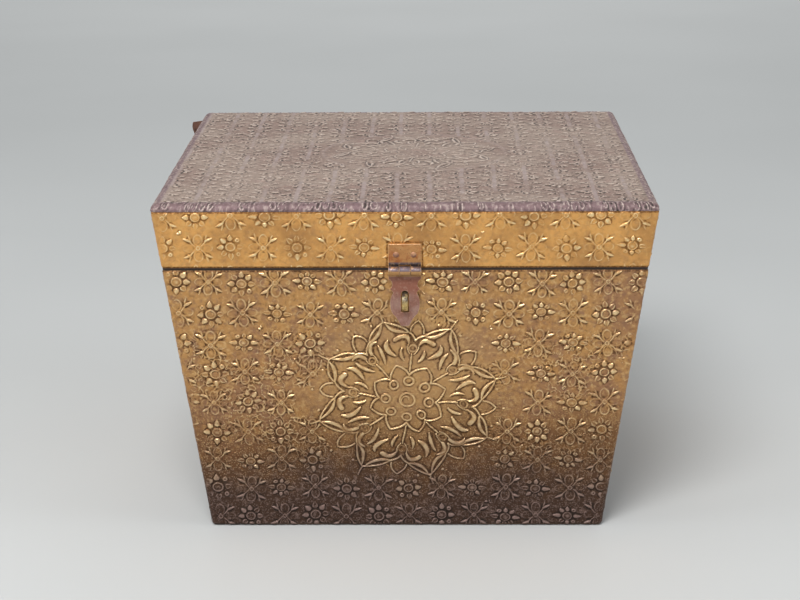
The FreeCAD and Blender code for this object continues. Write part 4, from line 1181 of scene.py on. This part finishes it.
class CHEST_OT_lid_brass(bpy.types.Operator):
    """Embossed sheets on the four edges of the lid"""

    bl_idname = "chest.lid_brass"
    bl_label = "Lid brass"

    # How much further from the joint the sheets end than the solids' do
    SHORT = 0.4
    # The height of the flattened patch's point, which is to lie far below the lid
    POINT = -20

    def execute(self, context):
        cell = ornament_length("cell")
        fine, coarse = ornament_length("fine"), ornament_length("coarse")
        colours = colours_of(BRASS_TONES) | colours_of(LID_TONES, "lid_")
        brass = embossed_brass(
            "bright_embossed_brass", colours, darkening_top=20, stipple_top=60, mottling=0.45
        )
        seam = top_low[2] / math.cos(LEAN)
        daisy_at = (-1.2 * cell, seam - 1.15 * cell)
        hasp = ((leaf_low[0], self.POINT), (leaf_high[0], leaf_high[2] / math.cos(LEAN)))
        low_relief = {"depth": 0.75}
        front = side_ornament(11, daisy_at, flat_at=hasp, moat_depth=0.32, **low_relief)
        sides = [
            ("front", FRONT, fine, True, 1, front),
            ("back", BACK, coarse, True, 1, side_ornament(12, daisy_at, **low_relief)),
            ("left", LEFT, coarse, False, 1, side_ornament(13, daisy_at, **low_relief)),
            ("right", RIGHT, coarse, False, 1, side_ornament(14, daisy_at, **low_relief)),
        ]
        head = (TOP_ROUND, top_low[2])
        clad("lid_", "lid", sides, lid_low[2] + self.SHORT, lid_high[2], brass, head=head)
        return {"FINISHED"}


class CHEST_OT_lid_top(bpy.types.Operator):
    """Dusty embossed sheet, dressed over the rounded top edges of the lid"""

    bl_idname = "chest.lid_top"
    bl_label = "Lid top"

    STRIPS = 3
    FADE = 1.0

    def execute(self, context):
        step = ornament_length("top")
        flat = top_high[0] - TOP_ROUND
        quarter = TOP_ROUND * math.pi / 2
        places = sampled(-flat - quarter, flat + quarter, step)
        across, back = np.meshgrid(places, places, indexing="ij")
        height, plain, over = top_ornament(across, back)
        marks = pattern_marks(height, step) | {"plain": plain, "over": over}
        height = height * edge_fade(across, back, self.FADE)
        outer = top_points(across, back, flat, height)
        normals = surface_normals(outer)
        bent = np.abs(places) > flat
        kept = np.flatnonzero(bent)[::2]
        ends = [0, len(places) - 1, *(np.flatnonzero(~bent)[[0, -1]])]
        few = np.unique(np.concatenate([kept, ends]))
        inner_across, inner_back = np.meshgrid(places, places[few], indexing="ij")
        inner = top_points(inner_across, inner_back, flat, np.full(inner_across.shape, -SHEET))
        dust = dusty_brass("dusty_embossed_brass", colours_of(DUST_TONES, "dust_"))
        sheet = outer, normals, inner, marks
        in_strips(
            "lid_top_brass", "lid_top_cladding", "lid", "lid_top_brass", dust, self.STRIPS, *sheet
        )
        return {"FINISHED"}


class CHEST_OT_boards(bpy.types.Operator):
    """Bare wood on the boards and rails"""

    bl_idname = "chest.boards"
    bl_label = "Boards"

    def execute(self, context):
        tones = colours_of(WOOD_TONES).values()
        lengthways = sawn_wood("aged_softwood_lengthways", *tones, along_x=True)
        crossways = sawn_wood("aged_softwood_crossways", *tones, along_x=False)
        for name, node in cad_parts.items():
            if name.endswith(("board", "rail")):
                sideways = name.startswith(("left", "right", "lid_left", "lid_right"))
                node.data.materials.clear()
                node.data.materials.append(crossways if sideways else lengthways)
        return {"FINISHED"}


def eased_copy(node, name, body, ease, face, rim):
    """A merged copy of a node's mesh whose sharp edges a bevel eases, with the rim's own finish."""
    flat_angle, sharp_angle = math.radians(1), math.radians(35)
    work = bmesh.new()
    work.from_mesh(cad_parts[node].data)
    bmesh.ops.remove_doubles(work, verts=work.verts, dist=0.001 * MM)
    bmesh.ops.dissolve_limit(work, angle_limit=flat_angle, verts=work.verts, edges=work.edges)
    mesh = bpy.data.meshes.new(name)
    work.to_mesh(mesh)
    work.free()
    made = bpy.data.objects.new(name, mesh)
    bpy.context.scene.collection.objects.link(made)
    mesh.materials.append(face)
    mesh.materials.append(rim)
    bevel = made.modifiers.new("eased_edges", "BEVEL")
    bevel.width = ease * MM
    bevel.segments = 2
    bevel.limit_method = "ANGLE"
    bevel.angle_limit = sharp_angle
    bevel.material = 1
    bevel.harden_normals = True
    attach(made, body)
    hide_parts(node)


class CHEST_OT_hasp(bpy.types.Operator):
    """Leaf, strap, pin, screws and staple"""

    bl_idname = "chest.hasp"
    bl_label = "Hasp"

    def execute(self, context):
        # Zones are set out from the pin's axis and the staple's middle
        axis, loop_middle = (pin_low[2] + pin_high[2]) / 2, (loop_low[2] + loop_high[2]) / 2
        # Painted reflection: the barrel's upper half grey-mauve and its lower half yellow-brown
        barrel_reflection = [(axis + 0.4, axis + 6, 0.5, "#5E565E"), (axis - 4.6, axis + 0.4, 0.5, "#AE8656")]
        shoulder = (axis - 18, axis - 4.6, 5, "#8C5846")
        # Painted shadow: a dark band in the crease where the leaf meets the barrel
        crease = (axis + 3.3, axis + 4.6, 0.5, "#2E221C")
        strap = rolled_metal(
            "mauve_tarnished_brass", "#98766A", "#8A6052", "#B08E7C", 0.6, 0.46, zones=[shoulder, *barrel_reflection]
        )
        plate = rolled_metal(
            "orange_worn_brass", "#B88452", "#A4643A", "#CCA270", 0.7, 0.42, zones=[*barrel_reflection, crease]
        )
        rim = rolled_metal("rubbed_brass_rim", "#D8B892", "#B8906E", "#F0DCC0", 0.6, 0.34)
        # Painted reflection: the staple's upper half darker grey; its pale yellow is partly a painted
        # highlight
        loop = rolled_metal(
            "rubbed_staple_brass", "#D0B478", "#A08654", "#EAD898", 0.8, 0.36,
            zones=[(loop_middle - 1, loop_high[2] + 9, 2, "#4E4844")],
        )
        pin = rolled_metal("brass_pin_wire", "#B08A50", "#7A5C3A", "#D8B880", 0.9, 0.3)
        heads = rolled_metal("worn_screw_heads", "#A67A5A", "#8C6458", "#B89270", 0.6, 0.6)
        eased_copy("hasp_strap", "hasp_strap_plate", "hasp", 0.45, strap, rim)
        eased_copy("hasp_leaf", "hasp_leaf_plate", "lid", 0.25, plate, rim)
        eased_copy("hasp_pin", "hasp_pin_wire", "lid", 0.3, pin, rim)
        eased_copy("hasp_screws", "hasp_screw_heads", "lid", 0.15, heads, heads)
        eased_copy("staple", "staple_loop", "case", 0.25, loop, loop)
        return {"FINISHED"}


class CHEST_OT_hinges(bpy.types.Operator):
    """Butt hinges on the back, with their pins and screws"""

    bl_idname = "chest.hinges"
    bl_label = "Hinges"

    def execute(self, context):
        steel = rolled_metal("dull_hinge_steel", "#6E655C", "#6B4A36", "#94897C", 0.75, 0.45)
        rim = rolled_metal("worn_hinge_rim", "#8C8276", "#74543E", "#B4AA9C", 0.85, 0.35)
        pin = rolled_metal("hinge_pin_wire", "#857B70", "#6B4E3C", "#B0A698", 0.85, 0.3)
        heads = rolled_metal("hinge_screw_steel", "#80766A", "#6A4A38", "#AEA498", 0.8, 0.38)
        for side in ("left", "right"):
            for body in ("case", "lid"):
                node = f"{side}_hinge_{body}_leaf"
                eased_copy(node, node + "_plate", body, 0.25, steel, rim)
            node = f"{side}_hinge_pin"
            eased_copy(node, node + "_wire", "case", 0.3, pin, rim)
        for body in ("case", "lid"):
            screw = f"hinge_{body}_screw"
            eased_copy(screw + "s", screw + "_heads", body, 0.15, heads, rim)
        return {"FINISHED"}


class CHEST_OT_lug(bpy.types.Operator):
    """Rusty scalloped lug by the back left corner, and its nails"""

    bl_idname = "chest.lug"
    bl_label = "Lug"

    def execute(self, context):
        iron = rolled_metal(
            "rusted_lug_iron", "#5E3E32", "#3E2820", "#7E5E48", 0.3, 0.65, pit=1.4, pit_depth=0.5
        )
        rim = rolled_metal("worn_lug_rim", "#7A5A46", "#4A3226", "#A08060", 0.45, 0.55)
        eased_copy("side_lug", "side_lug_plate", "lid", 0.25, iron, rim)
        eased_copy("lug_nails", "lug_nail_heads", "lid", 0.15, iron, rim)
        return {"FINISHED"}


def tack_heads(name, spots, outwards, body, material):
    """Domed heads in one mesh: a quarter ellipse turned about the direction that each looks in.

    A head has a ring in the sheet, three rings up the dome and a pole."""
    radius, tall, sunk, round_parts = 1.7, 1.0, 0.4, 12
    tilt = np.radians([0, 0, 35, 65])
    ring_radius = radius * np.cos(tilt)
    ring_height = tall * np.sin(tilt) - np.array([sunk, 0, 0, 0])
    around = np.arange(round_parts) * 2 * math.pi / round_parts
    aside = np.array([0.0, 1.0, 0.0])
    upwards = np.cross(outwards, aside)
    circle = np.cos(around)[:, None] * aside + np.sin(around)[:, None] * upwards[:, None, :]
    rings = (
        spots[:, None, None, :]
        + ring_height[None, :, None, None] * outwards[:, None, None, :]
        + ring_radius[None, :, None, None] * circle[:, None, :, :]
    )
    poles = (spots + tall * outwards)[:, None, :]
    points = np.concatenate([rings.reshape(len(spots), -1, 3), poles], 1)
    here = np.arange(round_parts)
    after = (here + 1) % round_parts
    last = (len(tilt) - 1) * round_parts
    pole = last + round_parts
    quads = np.concatenate([
        np.stack([here, after, after + round_parts, here + round_parts], 1) + round_parts * ring
        for ring in range(len(tilt) - 1)
    ])
    fan = np.stack([here + last, after + last, np.full(round_parts, pole)], 1)
    faces = [
        face + (pole + 1) * number
        for number in range(len(spots)) for face in (*quads, *fan, here[::-1])
    ]
    made = mesh_object(name, points.reshape(-1, 3), faces, np.full(len(faces), True))
    made.data.materials.append(material)
    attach(made, body)


class CHEST_OT_tacks(bpy.types.Operator):
    """Domed brass tacks that hold the sheets' turned edges on the sides"""

    bl_idname = "chest.tacks"
    bl_label = "Tacks"

    SPACING = 29
    # Clear lengths under and over each row
    CASE_CLEAR, LID_CLEAR = (12, 8), (9, 7)

    def execute(self, context):
        brass = rolled_metal("domed_brass_tacks", "#B8925A", "#86623E", "#E8CC94", 0.9, 0.32)
        for name, body, low, high in (
            ("case_tacks", "case", case_low[2] + self.CASE_CLEAR[0], case_high[2] - self.CASE_CLEAR[1]),
            ("lid_tacks", "lid", lid_low[2] + self.LID_CLEAR[0], top_low[2] - self.LID_CLEAR[1]),
        ):
            heights = sampled(low, high, self.SPACING)
            out = reach(heights)
            from_middle = out - (CORNER + FOLD) / 2
            spots, outwards = [], []
            for side in (-1, 1):
                look = (side * math.cos(LEAN), 0, -math.sin(LEAN))
                for end in (-1, 1):
                    spots.append(np.stack([side * out, end * from_middle, heights], 1))
                    outwards.append(np.broadcast_to(look, (len(heights), 3)))
            tack_heads(name, np.concatenate(spots), np.concatenate(outwards), body, brass)
        return {"FINISHED"}


class CHEST_PT_panel(bpy.types.Panel):
    """The chest's pieces, one button each"""

    bl_label = "Damchiya Chest"
    bl_idname = "CHEST_PT_panel"
    bl_space_type = "VIEW_3D"
    bl_region_type = "UI"
    bl_category = "Chest"

    def draw(self, context):
        for operator in PIECES:
            self.layout.operator(operator.bl_idname)
        for group in GROUPS:
            settings = chosen(group)
            for name in settings.__annotations__:
                self.layout.prop(settings, name)


GROUPS = {
    "chest_ornament": ChestOrnament,
    "chest_colours": ChestColours,
    "chest_stage": ChestStage,
}
PIECES = (
    CHEST_OT_stage,
    CHEST_OT_case_brass,
    CHEST_OT_lid_brass,
    CHEST_OT_lid_top,
    CHEST_OT_boards,
    CHEST_OT_hasp,
    CHEST_OT_hinges,
    CHEST_OT_lug,
    CHEST_OT_tacks,
)


def register():
    """Registers the settings, the operators and the panel."""
    for kind in (*GROUPS.values(), *PIECES, CHEST_PT_panel):
        bpy.utils.register_class(kind)
    for group, kind in GROUPS.items():
        setattr(bpy.types.Scene, group, PointerProperty(type=kind))


def unregister():
    """Undoes register, in the opposite order."""
    for group in GROUPS:
        delattr(bpy.types.Scene, group)
    for kind in (CHEST_PT_panel, *reversed(PIECES), *reversed(GROUPS.values())):
        bpy.utils.unregister_class(kind)


def main():
    """Builds every piece, in order."""
    register()
    for operator in PIECES:
        area, name = operator.bl_idname.split(".")
        getattr(getattr(bpy.ops, area), name)()


if __name__ == "__main__":
    main()
